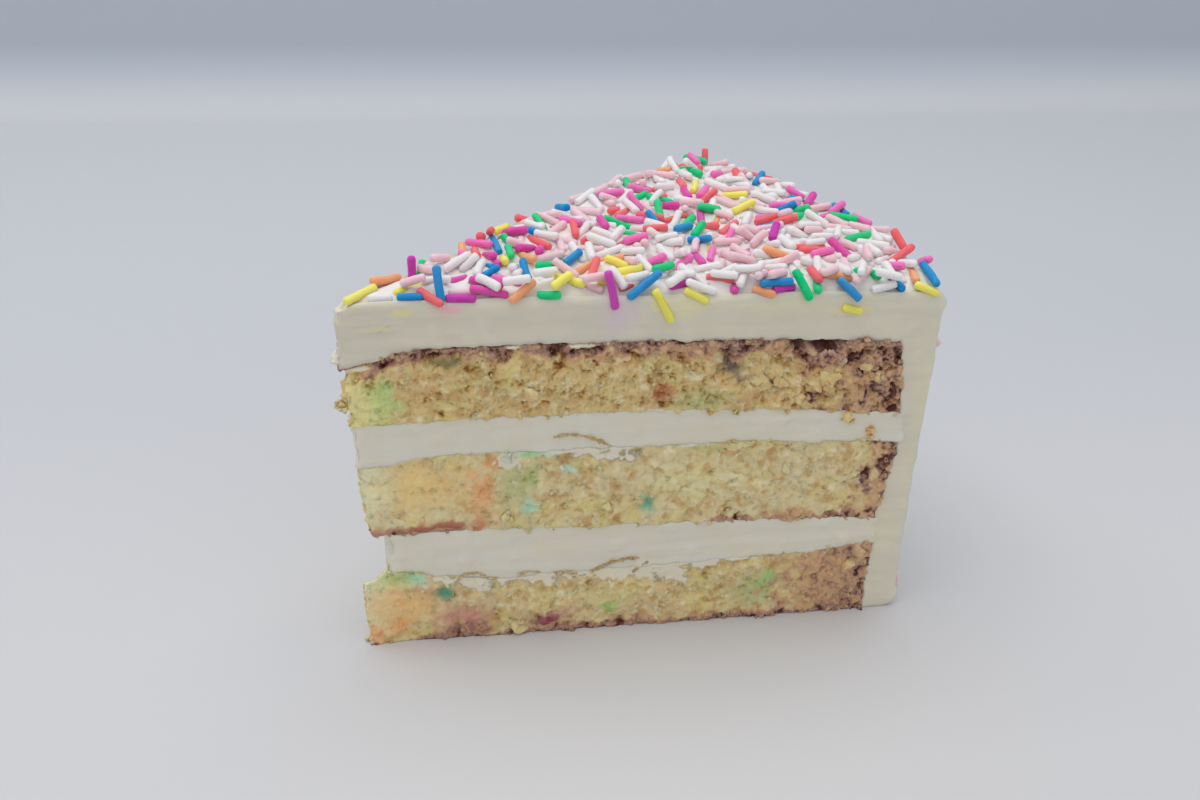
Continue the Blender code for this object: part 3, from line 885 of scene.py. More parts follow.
# Torn strings of crumb that the knife drew into the cream, as points along and up the front face
STRINGS = {
    "sponge_middle": (
        ((37.3, 45.7), (39.7, 46.2), (42.0, 45.9), (43.9, 45.3), (45.8, 44.3), (48.1, 43.1)),
        ((71.6, 42.9), (72.4, 42.0), (74.1, 41.3), (75.9, 41.3)),
    ),
    "sponge_bottom": (
        ((18.0, 13.0), (19.0, 15.0), (20.4, 15.7), (22.9, 15.6), (24.3, 14.3), (26.4, 14.2)),
        ((30.6, 14.7), (32.7, 15.3), (34.9, 14.9)),
        ((37.5, 14.3), (39.7, 14.5), (42.3, 14.0)),
        ((45.1, 14.3), (46.7, 15.1), (49.1, 16.2), (51.7, 16.8), (54.8, 16.9)),
        ((53.5, 13.6), (54.8, 14.9), (56.6, 16.1)),
    ),
}


# Up to what width a crumb has which fineness and roughness
CRUMB_KINDS = ((0.6 * MM, 1, 0.40), (1.5 * MM, 2, 0.40), (math.inf, 3, 0.30))
CRUMB_STRETCH = (0.55, 1.25)


def one_crumb(block, place, width, draw):
    """Adds a single crumb, a small torn lump, to a block; gives its points."""
    stretch = Vector([draw.uniform(*CRUMB_STRETCH) for _ in range(3)]) * width
    turn = Matrix.Rotation(draw.uniform(0, math.pi), 4, Vector([draw.gauss(0, 1) for _ in range(3)]))
    shape = Matrix.Translation(place) @ turn @ Matrix.Diagonal(stretch).to_4x4()
    fineness, roughness = next(kind[1:] for kind in CRUMB_KINDS if width < kind[0])
    return add_lump(block, fineness, shape, roughness)


class Looks:
    """Writes how browned, raised and stained each point of a sponge is, for its material, which paints
    highlights and shade by how raised the point is.
    """

    def __init__(self, block):
        self.crust = block.verts.layers.float.new("crust")
        self.relief = block.verts.layers.float.new("relief")
        self.stain = block.verts.layers.float_color.new("stain")

    def put(self, verts, crust, relief, stain):
        """Gives some points their looks."""
        for vert in verts:
            vert[self.crust] = crust
            vert[self.relief] = relief
            vert[self.stain] = stain


# Shares of the crumbs that lie along a sponge's foot and its top, and how closely in shares of its height
AT_FOOT, FOOT_SPREAD_UP = 0.08, 0.020
AT_TOP, TOP_SPREAD_UP = 0.08, 0.015
DEEP_GAP = 0.6 * MM
UNDER_GAP = 0.8
# Widths as shares of the largest, with a power that makes small ones common, and how much wider crust is
CRUMB_WIDTHS, SMALL_ONES, CRUSTY_WIDTH = (0.4, 1.0), 1.5, 0.6
# How far out a crumb sits in widths, its share of the crust under it, and how raised it is painted, which
# sets its painted highlight and pore shade
CRUMB_OUT, CRUMB_CRUST, CRUMB_RELIEFS = (-0.50, -0.12), (0.35, 0.95), (-0.5, 0.8)


def loose_crumbs(name, block, looks, crumb, cream, draw):
    """Scatters crumbs over a sponge's cut faces, thickest along its seams and rim."""
    for face_share in (0, 1):
        for _ in range(crumb.crumbs):
            along_share = 1 - 1.003 * draw.random() ** 1.2
            edge = draw.random()
            if edge < AT_FOOT:
                up = draw.gauss(0.0, FOOT_SPREAD_UP)
            elif edge < AT_FOOT + AT_TOP:
                up = draw.gauss(1.0, TOP_SPREAD_UP)
            else:
                up = draw.random()
            spot = crumb_point(name, along_share, face_share, up, crumb, cream)
            under_gap = crust_gap(spot.place.x, 0) > DEEP_GAP and spot.place.y < MM and up > UNDER_GAP
            smeared = spot.stain[3] > 1
            if smeared or (name == "sponge_top" and under_gap):
                continue
            width = crumb.crumb_width * draw.uniform(*CRUMB_WIDTHS) ** SMALL_ONES
            width *= 1 + CRUSTY_WIDTH * spot.crust * draw.random()
            place = spot.place + face_normal(face_share) * width * draw.uniform(*CRUMB_OUT)
            verts = one_crumb(block, place, width, draw)
            crust = spot.crust * draw.uniform(*CRUMB_CRUST)
            looks.put(verts, crust, draw.uniform(*CRUMB_RELIEFS), spot.stain)


CHIP_BITS = 6
# How raised chips and their bits are painted, which sets their painted highlight and pore shade
CHIP_RELIEF = 0.7
BIT_WIDTH = (0.25, 0.5)
BIT_RELIEF = (-0.2, 0.9)


def lay_chips(name, block, looks, draw):
    """Lays a sponge's large crumbs on the front face, each with smaller bits round it."""
    for chip in CHIPS[name]:
        place = Vector((chip.along, -chip.out, chip.height)) * MM
        stain = (*linear(MELTED[chip.colour]), chip.strength)
        looks.put(one_crumb(block, place, chip.width * MM, draw), 0, CHIP_RELIEF, stain)
        for _ in range(CHIP_BITS):
            aside = Vector((draw.uniform(-0.5, 0.5), draw.uniform(-0.1, 0.2), draw.uniform(-0.5, 0.5)))
            width = draw.uniform(*BIT_WIDTH) * chip.width * MM
            bit = one_crumb(block, place + aside * chip.width * MM, width, draw)
            looks.put(bit, 0, draw.uniform(*BIT_RELIEF), stain)


STRING_STEP = 0.34
STRING_WIDTH = (0.35, 0.75)
STRING_WANDER = 0.12
STRING_OUT = 0.15
# The strings' crust, their painted relief, low enough for painted pore shade, and no stain
STRING_LOOKS = (0.16, -0.4, (0, 0, 0, 0))


def lay_strings(name, block, looks, draw):
    """Lays the thin strings of crumb that reach from a sponge into the cream."""
    for string in STRINGS.get(name, ()):
        for start, end in zip(string, string[1:]):
            steps = math.ceil(math.dist(start, end) / STRING_STEP)
            for step in range(steps):
                along, height = (blend(*pair, step / steps) for pair in zip(start, end))
                wander = draw.uniform(-STRING_WANDER, STRING_WANDER)
                place = Vector((along, -STRING_OUT, height + wander)) * MM
                looks.put(one_crumb(block, place, draw.uniform(*STRING_WIDTH) * MM, draw), *STRING_LOOKS)


def sponge_mesh(name, crumb, cream):
    """A sponge whose cut faces and tip are torn crumb, with loose crumbs on them."""
    layer = LAYERS[name]
    rows = round((layer.top.middle - layer.foot.middle) / crumb.mesh_cell)
    block = unit_shell(round(CAKE_RADIUS / crumb.mesh_cell), crumb.around, rows)
    looks = Looks(block)
    for vert in block.verts:
        point = crumb_point(name, *vert.co, crumb, cream)
        vert.co = point.place
        vert.co.z = max(vert.co.z, 0)
        looks.put((vert,), point.crust, point.relief, point.stain)
    draw = random.Random(name)
    loose_crumbs(name, block, looks, crumb, cream, draw)
    lay_chips(name, block, looks, draw)
    lay_strings(name, block, looks, draw)
    return mesh_from(block, name)


def butter_sponge(name, tone, crumb):
    """Vanilla sponge, baked and torn: soft open crumb, with a painted highlight where it stands out and a
    painted golden shade in its pores.
    """
    made, tree = new_material(f"butter_{name}")
    place = add_node(tree, "ShaderNodeTexCoord", "Object")
    relief = add_node(tree, "ShaderNodeAttribute", "Fac", attribute_name="relief")
    crust = add_node(tree, "ShaderNodeAttribute", "Fac", attribute_name="crust")
    stain = add_node(tree, "ShaderNodeAttribute", "Color", attribute_name="stain")
    stain_share = stain.node.outputs["Alpha"]
    # Crumbs of about 0.7 mm and their grit, finer than the mesh
    size = {"Vector": place, "Scale": 1 / (0.7 * MM), "Detail": 4.0, "Roughness": 0.7}
    grain = add_node(tree, "ShaderNodeTexNoise", "Fac", size)
    # Batter that baked unevenly, in clouds of about 8 mm and blotches of about 3 mm and 2 mm
    size = {"Vector": place, "Scale": 1 / (8 * MM), "Detail": 2.0}
    clouds = add_node(tree, "ShaderNodeTexNoise", "Fac", size)
    size = {"Vector": place, "Scale": 1 / (3 * MM), "Detail": 3.0}
    blotches = add_node(tree, "ShaderNodeTexNoise", "Fac", size)
    size = {"Vector": place, "Scale": 1 / (2 * MM), "Detail": 2.0, "W": 5.0}
    flecks = add_node(tree, "ShaderNodeTexNoise", "Fac", size, noise_dimensions="4D")
    # Fine grain swings how raised the crumb counts, so that its painted highlights and painted pore shade
    # sparkle
    sparkle = 2.2 * TORN[name]
    swing = {0: grain, 1: sparkle, 2: -sparkle / 2}
    swing = add_node(tree, "ShaderNodeMath", 0, swing, operation="MULTIPLY_ADD")
    raised = add_node(tree, "ShaderNodeMath", 0, {0: relief, 1: swing}, operation="ADD")
    # Crust deepened where the relief sinks: real browning, with painted shade in the hollows
    crust_and_hollow_shade = {0: raised, 1: -0.32, 2: crust}
    crust_and_hollow_shade = add_node(tree, "ShaderNodeMath", 0, crust_and_hollow_shade, operation="MULTIPLY_ADD")
    # Each coat of colour: what drives it, from none to full, its colour and how it is laid on
    coats = (
        (clouds, 0.44, 0.70, (*crumb.yellow, 1), "MIX"),
        (blotches, 0.48, 0.68, (*crumb.tan, 1), "MIX"),
        (flecks, 0.50, 0.74, (*crumb.pale, 1), "MIX"),
        (stain_share, 0.0, 1.15, stain, "MIX"),
        (crust, 0.03, 0.34, (*crumb.crust_tan, 1), "MIX"),
        # Brown and dark crust: real crust, and painted shade where the relief sinks
        (crust_and_hollow_shade, 0.26, 0.62, (*crumb.crust_brown_and_hollow_shade, 1), "MIX"),
        (crust_and_hollow_shade, 0.64, 1.00, (*crumb.crust_dark_and_shade, 1), "MIX"),
        # Painted light: a painted highlight screened on where the crumb stands out, and a painted shade
        # multiplied in where it sinks into pores
        (raised, 0.1, 1.5, (*crumb.lit, 1), "SCREEN"),
        (raised, 0.0, -1.5, (*crumb.painted_pore_shade, 1), "MULTIPLY"),
    )
    body = (*tone, 1)
    for driver, none, full, colour, laid in coats:
        limits = {"Value": driver, "From Min": none, "From Max": full}
        share = add_node(tree, "ShaderNodeMapRange", "Result", limits, interpolation_type="SMOOTHSTEP")
        colours = {0: share, 6: body, 7: colour}
        body = add_node(tree, "ShaderNodeMix", 2, colours, data_type="RGBA", blend_type=laid)
    lift = {"Height": grain, "Strength": 0.6, "Distance": 0.3 * MM}
    bump = add_node(tree, "ShaderNodeBump", "Normal", lift)
    surface = {
        "Base Color": body,
        "Roughness": 0.82,
        "IOR": 1.4,
        "Specular IOR Level": 0.2,
        "Subsurface Weight": 0.3,
        "Subsurface Radius": (1.0, 0.6, 0.3),
        "Subsurface Scale": 1.2 * MM,
        "Normal": bump,
    }
    shader = add_node(tree, "ShaderNodeBsdfPrincipled", "BSDF", surface)
    add_node(tree, "ShaderNodeOutputMaterial", None, {"Surface": shader})
    return made


# ---------------------------------------------------------------- buttercream


FINE_DRAG_LENGTH = 7 * MM
FINE_DRAG_WIDTH = 0.8 * MM
FINE_DRAG_DEPTH = 0.06 * MM
FINE_DRAG_PLANE = 3.3
TORN_LUMP_LENGTH = 4.5 * MM
TORN_LUMP_EDGE = (0.2, 0.6)


def cream_face(place, normal, settings):
    """How far a knife left a cut face of cream standing out: long flat drags, with a few torn ones."""
    run = place.dot(Vector((0, 0, 1)).cross(normal))
    drag = noise.noise(Vector((run / settings.drag_length, 0, place.z / settings.drag_width)))
    fine = noise.noise(Vector((run / FINE_DRAG_LENGTH, FINE_DRAG_PLANE, place.z / FINE_DRAG_WIDTH)))
    lump = smooth(*TORN_LUMP_EDGE, noise.noise(place / TORN_LUMP_LENGTH))
    knife = settings.drag_depth * drag + FINE_DRAG_DEPTH * fine + settings.lump_depth * lump
    return CREAM_RELIEF * noise.noise(place / CREAM_LUMP) + knife


def whipped_buttercream(name, tone, cream):
    """Butter and icing sugar whipped and smoothed with a knife: dense, off-white, a soft buttery sheen."""
    made, tree = new_material(f"whipped_buttercream_{name}")
    place = add_node(tree, "ShaderNodeTexCoord", "Object")
    # Knife drags about 2 mm apart and 30 mm long
    size = {"Vector": place, "Scale": (1 / (30 * MM), 1 / (30 * MM), 1 / (2 * MM))}
    stretched = add_node(tree, "ShaderNodeMapping", "Vector", size)
    size = {"Vector": stretched, "Scale": 1.0, "Detail": 4.0}
    drags = add_node(tree, "ShaderNodeTexNoise", "Fac", size)
    # Air bubbles and sugar grain of about 0.5 mm
    size = {"Vector": place, "Scale": 1 / (0.5 * MM), "Detail": 2.0}
    grain = add_node(tree, "ShaderNodeTexNoise", "Fac", size)
    # Butter that isn't quite beaten in, in clouds of about 12 mm
    size = {"Vector": place, "Scale": 1 / (12 * MM), "Detail": 3.0}
    clouds = add_node(tree, "ShaderNodeTexNoise", "Fac", size)
    streaks = add_node(tree, "ShaderNodeMath", 0, {0: drags, 1: clouds}, operation="ADD")
    limits = {"Value": streaks, "From Min": 0.75, "From Max": 1.25}
    tint = add_node(tree, "ShaderNodeMapRange", "Result", limits)
    colours = {0: tint, 6: (*tone, 1), 7: (*cream.butter, 1)}
    body = add_node(tree, "ShaderNodeMix", 2, colours, data_type="RGBA")
    blush = add_node(tree, "ShaderNodeAttribute", "Color", attribute_name="stain")
    colours = {0: blush.node.outputs["Alpha"], 6: body, 7: blush}
    body = add_node(tree, "ShaderNodeMix", 2, colours, data_type="RGBA")
    rise = add_node(tree, "ShaderNodeMath", 0, {0: grain, 1: 0.25, 2: drags}, operation="MULTIPLY_ADD")
    lift = {"Height": rise, "Strength": 0.35, "Distance": 0.3 * MM}
    bump = add_node(tree, "ShaderNodeBump", "Normal", lift)
    surface = {
        "Base Color": body,
        "Roughness": 0.48,
        "IOR": 1.45,
        "Specular IOR Level": 0.35,
        "Subsurface Weight": 0.35,
        "Subsurface Radius": (1.0, 0.75, 0.5),
        "Subsurface Scale": 1.5 * MM,
        "Normal": bump,
    }
    shader = add_node(tree, "ShaderNodeBsdfPrincipled", "BSDF", surface)
    add_node(tree, "ShaderNodeOutputMaterial", None, {"Surface": shader})
    return made


# Strands that bled into the cream of the front face
BLUSHES = (
    Spot(19.1, 72.3, 2.8, 0.9, "pink", 0.85),
    Spot(10.2, 71.9, 2.0, 0.7, "gold", 0.75),
    Spot(6.5, 69.0, 4.0, 0.5, "gold", 0.55),
    Spot(16.5, 70.6, 3.4, 0.5, "mauve", 0.12),
    Spot(18.6, 67.0, 2.2, 0.8, "mauve", 0.16),
    Spot(48.6, 69.5, 3.6, 4.0, "lilac", 0.50),
    Spot(55.6, 72.4, 1.7, 1.8, "gold", 0.75),
    Spot(60.0, 71.4, 5.0, 2.4, "lime", 0.45),
    Spot(78.0, 70.4, 8.0, 2.4, "lime", 0.22),
    Spot(91.8, 69.4, 2.8, 1.0, "gold", 0.95),
    Spot(107.0, 58.0, 2.6, 9.0, "lime", 0.08),
    Spot(108.6, 44.0, 2.2, 14.0, "lime", 0.14),
    Spot(88.6, 60.4, 4.4, 2.4, "mauve", 0.95),
    Spot(29.0, 42.2, 3.0, 2.0, "leaf", 0.25),
    Spot(105.0, 20.0, 4.0, 14.0, "lime", 0.10),
)
# The top's cream is painted paler, away from the cuts and the side
PALER_TOP_COLOUR = linear("f6f2f2")
PALER_TOP_STRENGTH = 0.7
# The paler top begins and is full this far in from a cut and from the side, in millimetres
PALER_TOP_FROM_CUT = (0.3, 2.0)
PALER_TOP_FROM_SIDE = (1.0, 8.0)
ON_THE_FRONT = 0.4 * MM


def blush_at(place):
    """What tints the cream at a place: strands that bled into the front, and a paler colour over the top.
    """
    if place.y < ON_THE_FRONT:
        return stain_at(BLUSHES, place.x, place.z, place)
    if place.z < ICING_TOP.middle - SHOULDER:
        return (0, 0, 0, 0)
    from_rim = (CAKE_RADIUS - math.hypot(place.x, place.y)) / MM
    from_cut = min(place.y, place.x * math.sin(SLICE_ANGLE) - place.y * math.cos(SLICE_ANGLE)) / MM
    spread = smooth(*PALER_TOP_FROM_CUT, from_cut) * smooth(*PALER_TOP_FROM_SIDE, from_rim)
    return (*PALER_TOP_COLOUR, PALER_TOP_STRENGTH * spread)


def blushing_mesh(block, name):
    """Finishes a block of cream as a mesh that knows what colours bled into it."""
    mesh = mesh_from(block, name)
    channels = [channel for vert in mesh.vertices for channel in blush_at(vert.co)]
    mesh.attributes.new("stain", "FLOAT_COLOR", "POINT").data.foreach_set("color", channels)
    return mesh


END_ROUNDING = 0.5 * MM
END_REACH = 2.4 * MM
SEAM_OVERLAP = 0.10 * MM
RIM_OVERLAP = 1.0 * MM
RIM_PROUD = 0.06 * MM
RIM_TUCK = 0.10 * MM
TIP_LUMP = 2.4 * MM


def filling_mesh(name, settings):
    """A filling: smooth cream between two seams, drawn out in long drags by the knife."""
    layer = LAYERS[name]
    rows = round((layer.top.middle - layer.foot.middle) / settings.mesh_cell)
    block = unit_shell(round(CAKE_RADIUS / settings.mesh_cell), settings.around, rows)
    for vert in block.verts:
        along_share, around_share, up = vert.co
        at = layer_point(layer, along_share, around_share, up, RIM_OVERLAP, SEAM_OVERLAP)
        place = at.place
        normal = face_normal(around_share)
        if normal:
            past = (at.radius - at.rim - at.bite) / RIM_OVERLAP
            tucked = (RIM_PROUD + RIM_TUCK) * smooth(0.3, 1.0, past) - RIM_PROUD * smooth(-3.0, 0.0, past)
            rounded = END_ROUNDING * max(0, 1 - (at.radius - at.setback) / END_REACH) ** 2
            lump = 0.9 * MM * noise.noise(place / TIP_LUMP) * math.exp((at.setback - at.radius) / END_REACH)
            place += normal * (cream_face(place, normal, settings) - tucked - rounded + lump)
        if along_share < TINY:
            place += TOWARDS_TIP * MM * (0.9 * noise.noise(place / TIP_LUMP) - 0.2)
        vert.co = place
    return blushing_mesh(block, name)


def top_and_corner(level, side, corner, angle, along_count, corner_count):
    """Radii and heights along a level from the tip, then round the corner to the side."""
    run = side - corner
    points = []
    for step in range(along_count):
        radius = blend(TIP_BLUNT, run, step / along_count)
        along, back = polar(radius, angle)
        points.append((radius, level_height(level, along, back) + ragged(level, along, back)))
    centre = level_height(level, *polar(run, angle)) - corner
    for step in range(corner_count + 1):
        turn = math.pi / 2 * step / corner_count
        points.append((run + corner * math.sin(turn), centre + corner * math.cos(turn)))
    return points


def rim_at(height, angle):
    """Radius of the layers' rims at a height, for the inside of the icing."""
    for layer in LAYERS.values():
        top = level_height(layer.top, *polar(layer.top_rim, angle))
        if height <= top:
            foot = level_height(layer.foot, *polar(layer.foot_rim, angle))
            share = min(max((height - foot) / (top - foot), 0), 1)
            bite = rim_bite(blend(layer.foot.middle, layer.top.middle, share), angle)
            return blend(layer.foot_rim, layer.top_rim, share) + bite
    return LAYERS["sponge_top"].top_rim


FOOT_ROUND_HEIGHT = 3.2 * MM


def icing_profiles(angle, settings):
    """The inside and outside of the icing at an angle, from the tip to the foot of the side."""
    along_count, corner_count, side_count = settings.icing_along, settings.icing_corner, settings.icing_side
    top_rim = LAYERS["sponge_top"].top_rim
    inside = top_and_corner(TOP_SPONGE_TOP, top_rim, INNER_CORNER, angle, along_count, corner_count)
    shoulder = side_radius(ICING_TOP.middle - SHOULDER, angle)
    outside = top_and_corner(ICING_TOP, shoulder, SHOULDER, angle, along_count, corner_count)
    inner_start = inside[-1][1]
    outer_start = outside[-1][1]
    for step in range(1, side_count + 1):
        share = 1 - step / side_count
        height = inner_start * share
        inside.append((rim_at(height, angle), height))
        height = outer_start * share
        rounding = FOOT_ROUND * max(0, 1 - height / FOOT_ROUND_HEIGHT) ** 2
        outside.append((side_radius(height, angle) - rounding, height))
    return inside, outside


TURNED_IN = 0.55 * MM
TURNED_DEPTH = 1.7 * MM
TURNED_REACH = 0.9 * MM
TIP_LUMPS_REACH = 7 * MM
# How far the mesh crowds towards the cut faces and the outside, where the edges are rounded
COLUMN_CROWDING = 0.80
ROW_CROWDING = 1.7


def icing_mesh(settings):
    """The icing: over the top sponge and down the side, smoothed outside, cut through at both faces."""
    around = settings.icing_around
    even = [step / around for step in range(around + 1)]
    shares = [share - COLUMN_CROWDING * math.sin(math.tau * share) / math.tau for share in even]
    profiles = [icing_profiles(SLICE_ANGLE * share, settings) for share in shares]
    stations = settings.icing_along + settings.icing_corner + settings.icing_side
    block = unit_shell(stations, around, settings.icing_rows)
    bed = strewn_strands()[1]
    pressed = bed.pressed_cream()
    for vert in block.verts:
        along_share, around_share, out_share = vert.co
        station = round(along_share * stations)
        column = round(around_share * around)
        inside, outside = profiles[column]
        crowded = 1 - (1 - out_share) ** ROW_CROWDING
        radius, height = Vector(inside[station]).lerp(Vector(outside[station]), crowded)
        depth = math.dist((radius, height), outside[station])
        angle = SLICE_ANGLE * shares[column]
        along, back = polar(radius, angle)
        place = with_tip(Vector((along, back, height)), radius, CREAM_TIP_SETBACK)
        normal = face_normal(around_share)
        from_cut = max(radius, 0) * min(math.sin(angle), math.sin(SLICE_ANGLE - angle))
        inward = FRONT_NORMAL if around_share < 0.5 else BACK_NORMAL
        turned = max(0, 1 - depth / TURNED_DEPTH) ** 2 * math.exp(-from_cut / TURNED_REACH)
        place -= inward * TURNED_IN * turned * (1 + 0.8 * noise.noise(place / (5 * MM)))
        if normal:
            lumpy = 1 + settings.tip_lumps * math.exp(-radius / TIP_LUMPS_REACH)
            place += normal * cream_face(place, normal, settings) * lumpy
        if out_share > 1 - TINY:
            on_top = station < settings.icing_along
            rise = float(bed.sample(place.x, place.y, pressed)) if on_top else 0
            place += outside_marks(place, on_top, rise, from_cut, settings)
        if station == 0:
            place += TOWARDS_TIP * (0.70 * noise.noise(place / TIP_LUMP) + 0.15) * MM
        vert.co = place - rounded_nose(radius - TIP_BLUNT, depth, place)
    return blushing_mesh(block, "icing")


NOSE_ROUND = 1.1 * MM
NOSE_REACH = 3.2 * MM


def rounded_nose(from_tip, depth, place):
    """How far the top corner of the icing's tip is pressed back and down, as it rounds off."""
    back = max(0, 1 - depth / NOSE_REACH) ** 2 * math.exp(-2 * from_tip / NOSE_REACH)
    down = max(0, 1 - from_tip / NOSE_REACH) ** 2 * math.exp(-2 * depth / NOSE_REACH)
    uneven = 1 + 0.7 * noise.noise(place / (2.2 * MM))
    return (TOWARDS_TIP * back + Vector((0, 0, down))) * NOSE_ROUND * uneven


CUT_EDGE_DROP = 0.80 * MM
CUT_EDGE_REACH = 2.2 * MM


def edge_drop(place, from_cut):
    """How far the icing's outside sinks towards a cut."""
    soft = max(0, 1 - from_cut / CUT_EDGE_REACH) ** 2
    return CUT_EDGE_DROP * soft * (1 + 1.2 * noise.noise(place / (4 * MM)))


PRESSED_FROM_CUT = (0.8, 4.0)
TOP_WAVE = 0.22 * MM
TOP_WAVE_LENGTH = 5 * MM
# Along the side and up it: the length and the height of a sweep, and of a ridge between two
SWEEP = (34 * MM, 4.5 * MM)
RIDGE = (24 * MM, 9 * MM)
SWEEP_PLANE, RIDGE_PLANE = 7.7, 2.2
RIDGE_SHARPNESS = 5
DIMPLE = 0.22 * MM
DIMPLE_LENGTH = 7 * MM


def outside_marks(place, on_top, rise, from_cut, settings):
    """What moved the icing's outside: strands pressed into its top, the knife's sweeps, soft edges."""
    drop = edge_drop(place, from_cut)
    if on_top:
        rise *= smooth(*PRESSED_FROM_CUT, from_cut / MM) * (1 + 0.4 * noise.noise(place / (3 * MM)))
        return Vector((0, 0, rise + TOP_WAVE * noise.noise(place / TOP_WAVE_LENGTH) - drop))
    outward = Vector((place.x, place.y, 0)).normalized()
    around = math.atan2(place.y, place.x) * CAKE_RADIUS
    sweep = noise.noise(Vector((around / SWEEP[0], SWEEP_PLANE, place.z / SWEEP[1])))
    between = noise.noise(Vector((around / RIDGE[0], RIDGE_PLANE, place.z / RIDGE[1])))
    ridge = max(0, 1 - abs(between) * RIDGE_SHARPNESS)
    knife = settings.drag_depth * (1.2 * sweep + 0.9 * ridge) + DIMPLE * noise.noise(place / DIMPLE_LENGTH)
    return outward * (knife - drop)


class Lump(NamedTuple):
    """A loose lump of cream on the front face: its middle, how proud, and its size along, out and up."""

    along: float
    height: float
    out: float
    size: tuple
    lean: float


LUMPS = (
    Lump(-0.7, 63.3, -0.7, (2.5, 2.2, 2.9), 0),
    Lump(-0.2, 65.6, -0.6, (1.9, 1.8, 1.6), 0),
    Lump(0.6, 61.6, -0.2, (1.7, 1.4, 1.1), 20),
    Lump(86.2, 60.2, 0.0, (1.7, 1.1, 0.8), 30),
    Lump(87.3, 61.0, 0.2, (1.8, 1.2, 0.9), 25),
    Lump(88.6, 61.1, 0.3, (1.6, 1.2, 0.8), -10),
    Lump(89.6, 60.6, 0.2, (1.5, 1.2, 1.0), -35),
    Lump(90.5, 59.9, 0.2, (1.7, 1.3, 1.2), -40),
    Lump(91.5, 59.1, 0.1, (1.4, 1.2, 1.3), 0),
    Lump(28.6, 41.9, -0.2, (2.6, 1.3, 2.2), 20),
)


LUMP_FINENESS = 3
LUMP_ROUGHNESS = 0.42


def lumps_mesh():
    """The lumps of cream on the front face, joined into one mesh."""
    block = bmesh.new()
    for lump in LUMPS:
        place = Vector((lump.along, -lump.out, lump.height)) * MM
        lean = Matrix.Rotation(-math.radians(lump.lean), 4, "Y")
        shape = Matrix.Translation(place) @ lean @ Matrix.Diagonal(Vector(lump.size) * MM).to_4x4()
        add_lump(block, LUMP_FINENESS, shape, LUMP_ROUGHNESS)
    return blushing_mesh(block, "cream_lumps")


# ---------------------------------------------------------------- sugar strands


class Strand(NamedTuple):
    """A sugar strand: its middle from the tip, its direction, length, radius and colour."""

    middle: Vector
    direction: Vector
    length: float
    radius: float
    colour: str


# Each colour of strand, and its share of the scatter
STRAND_COLOURS = {
    "white": ("ece7e5", 34),
    "blush": ("eec6cc", 20),
    "pink": ("fb78bb", 5),
    "magenta": ("dc4aa6", 4.2),
    "purple": ("c83cae", 0.3),
    "red": ("f46c72", 7.4),
    "orange": ("ffa676", 3.2),
    "yellow": ("fde86c", 2.6),
    "green": ("00cb80", 5.8),
    "blue": ("008cca", 3.7),
}
# Pale strands' weight near the tip and near the side, and between which shares of the radius it rises
PALE = ("white", "blush")
PALE_SHARES = (0.66, 1.36)
PALE_RISE = (0.3, 0.8)
EDGE_PAINTS = ("white", "white", "blush")
BIG_STRANDS = 207
BARE_TIP = 22 * MM
LONE_TIP = 11 * MM
LONE_COLOUR = "orange"
STRAND_GIRTHS = (0.9, 1.1)
EDGE_STRANDS = 13
EDGE_STRAND = 5.0 * MM
EDGE_SLOPE = 0.25
EDGE_SPREAD = 0.92
EDGE_BACK = (0.8, 3.2)
EDGE_TURN = 0.6
# Pale strands near the tip: along and back in millimetres, turn in degrees, length and colour
TIP_STRANDS = (
    (6.9, 1.0, 4, 4.2, "white"),
    (12.6, 2.8, -6, 4.6, "blush"),
    (16.6, 4.4, 4, 5.2, "white"),
    (15.6, 7.4, -38, 5.0, "blush"),
    (20.4, 10.2, 22, 5.4, "white"),
    (17.6, 12.4, 48, 5.0, "blush"),
)
PRESSED_SHARE = 0.75
PRESSED_PASSES = 12
# How far beside its middle a strand also feels what is under it, as a share of its radius
BESIDE = 0.7
NOWHERE = -1


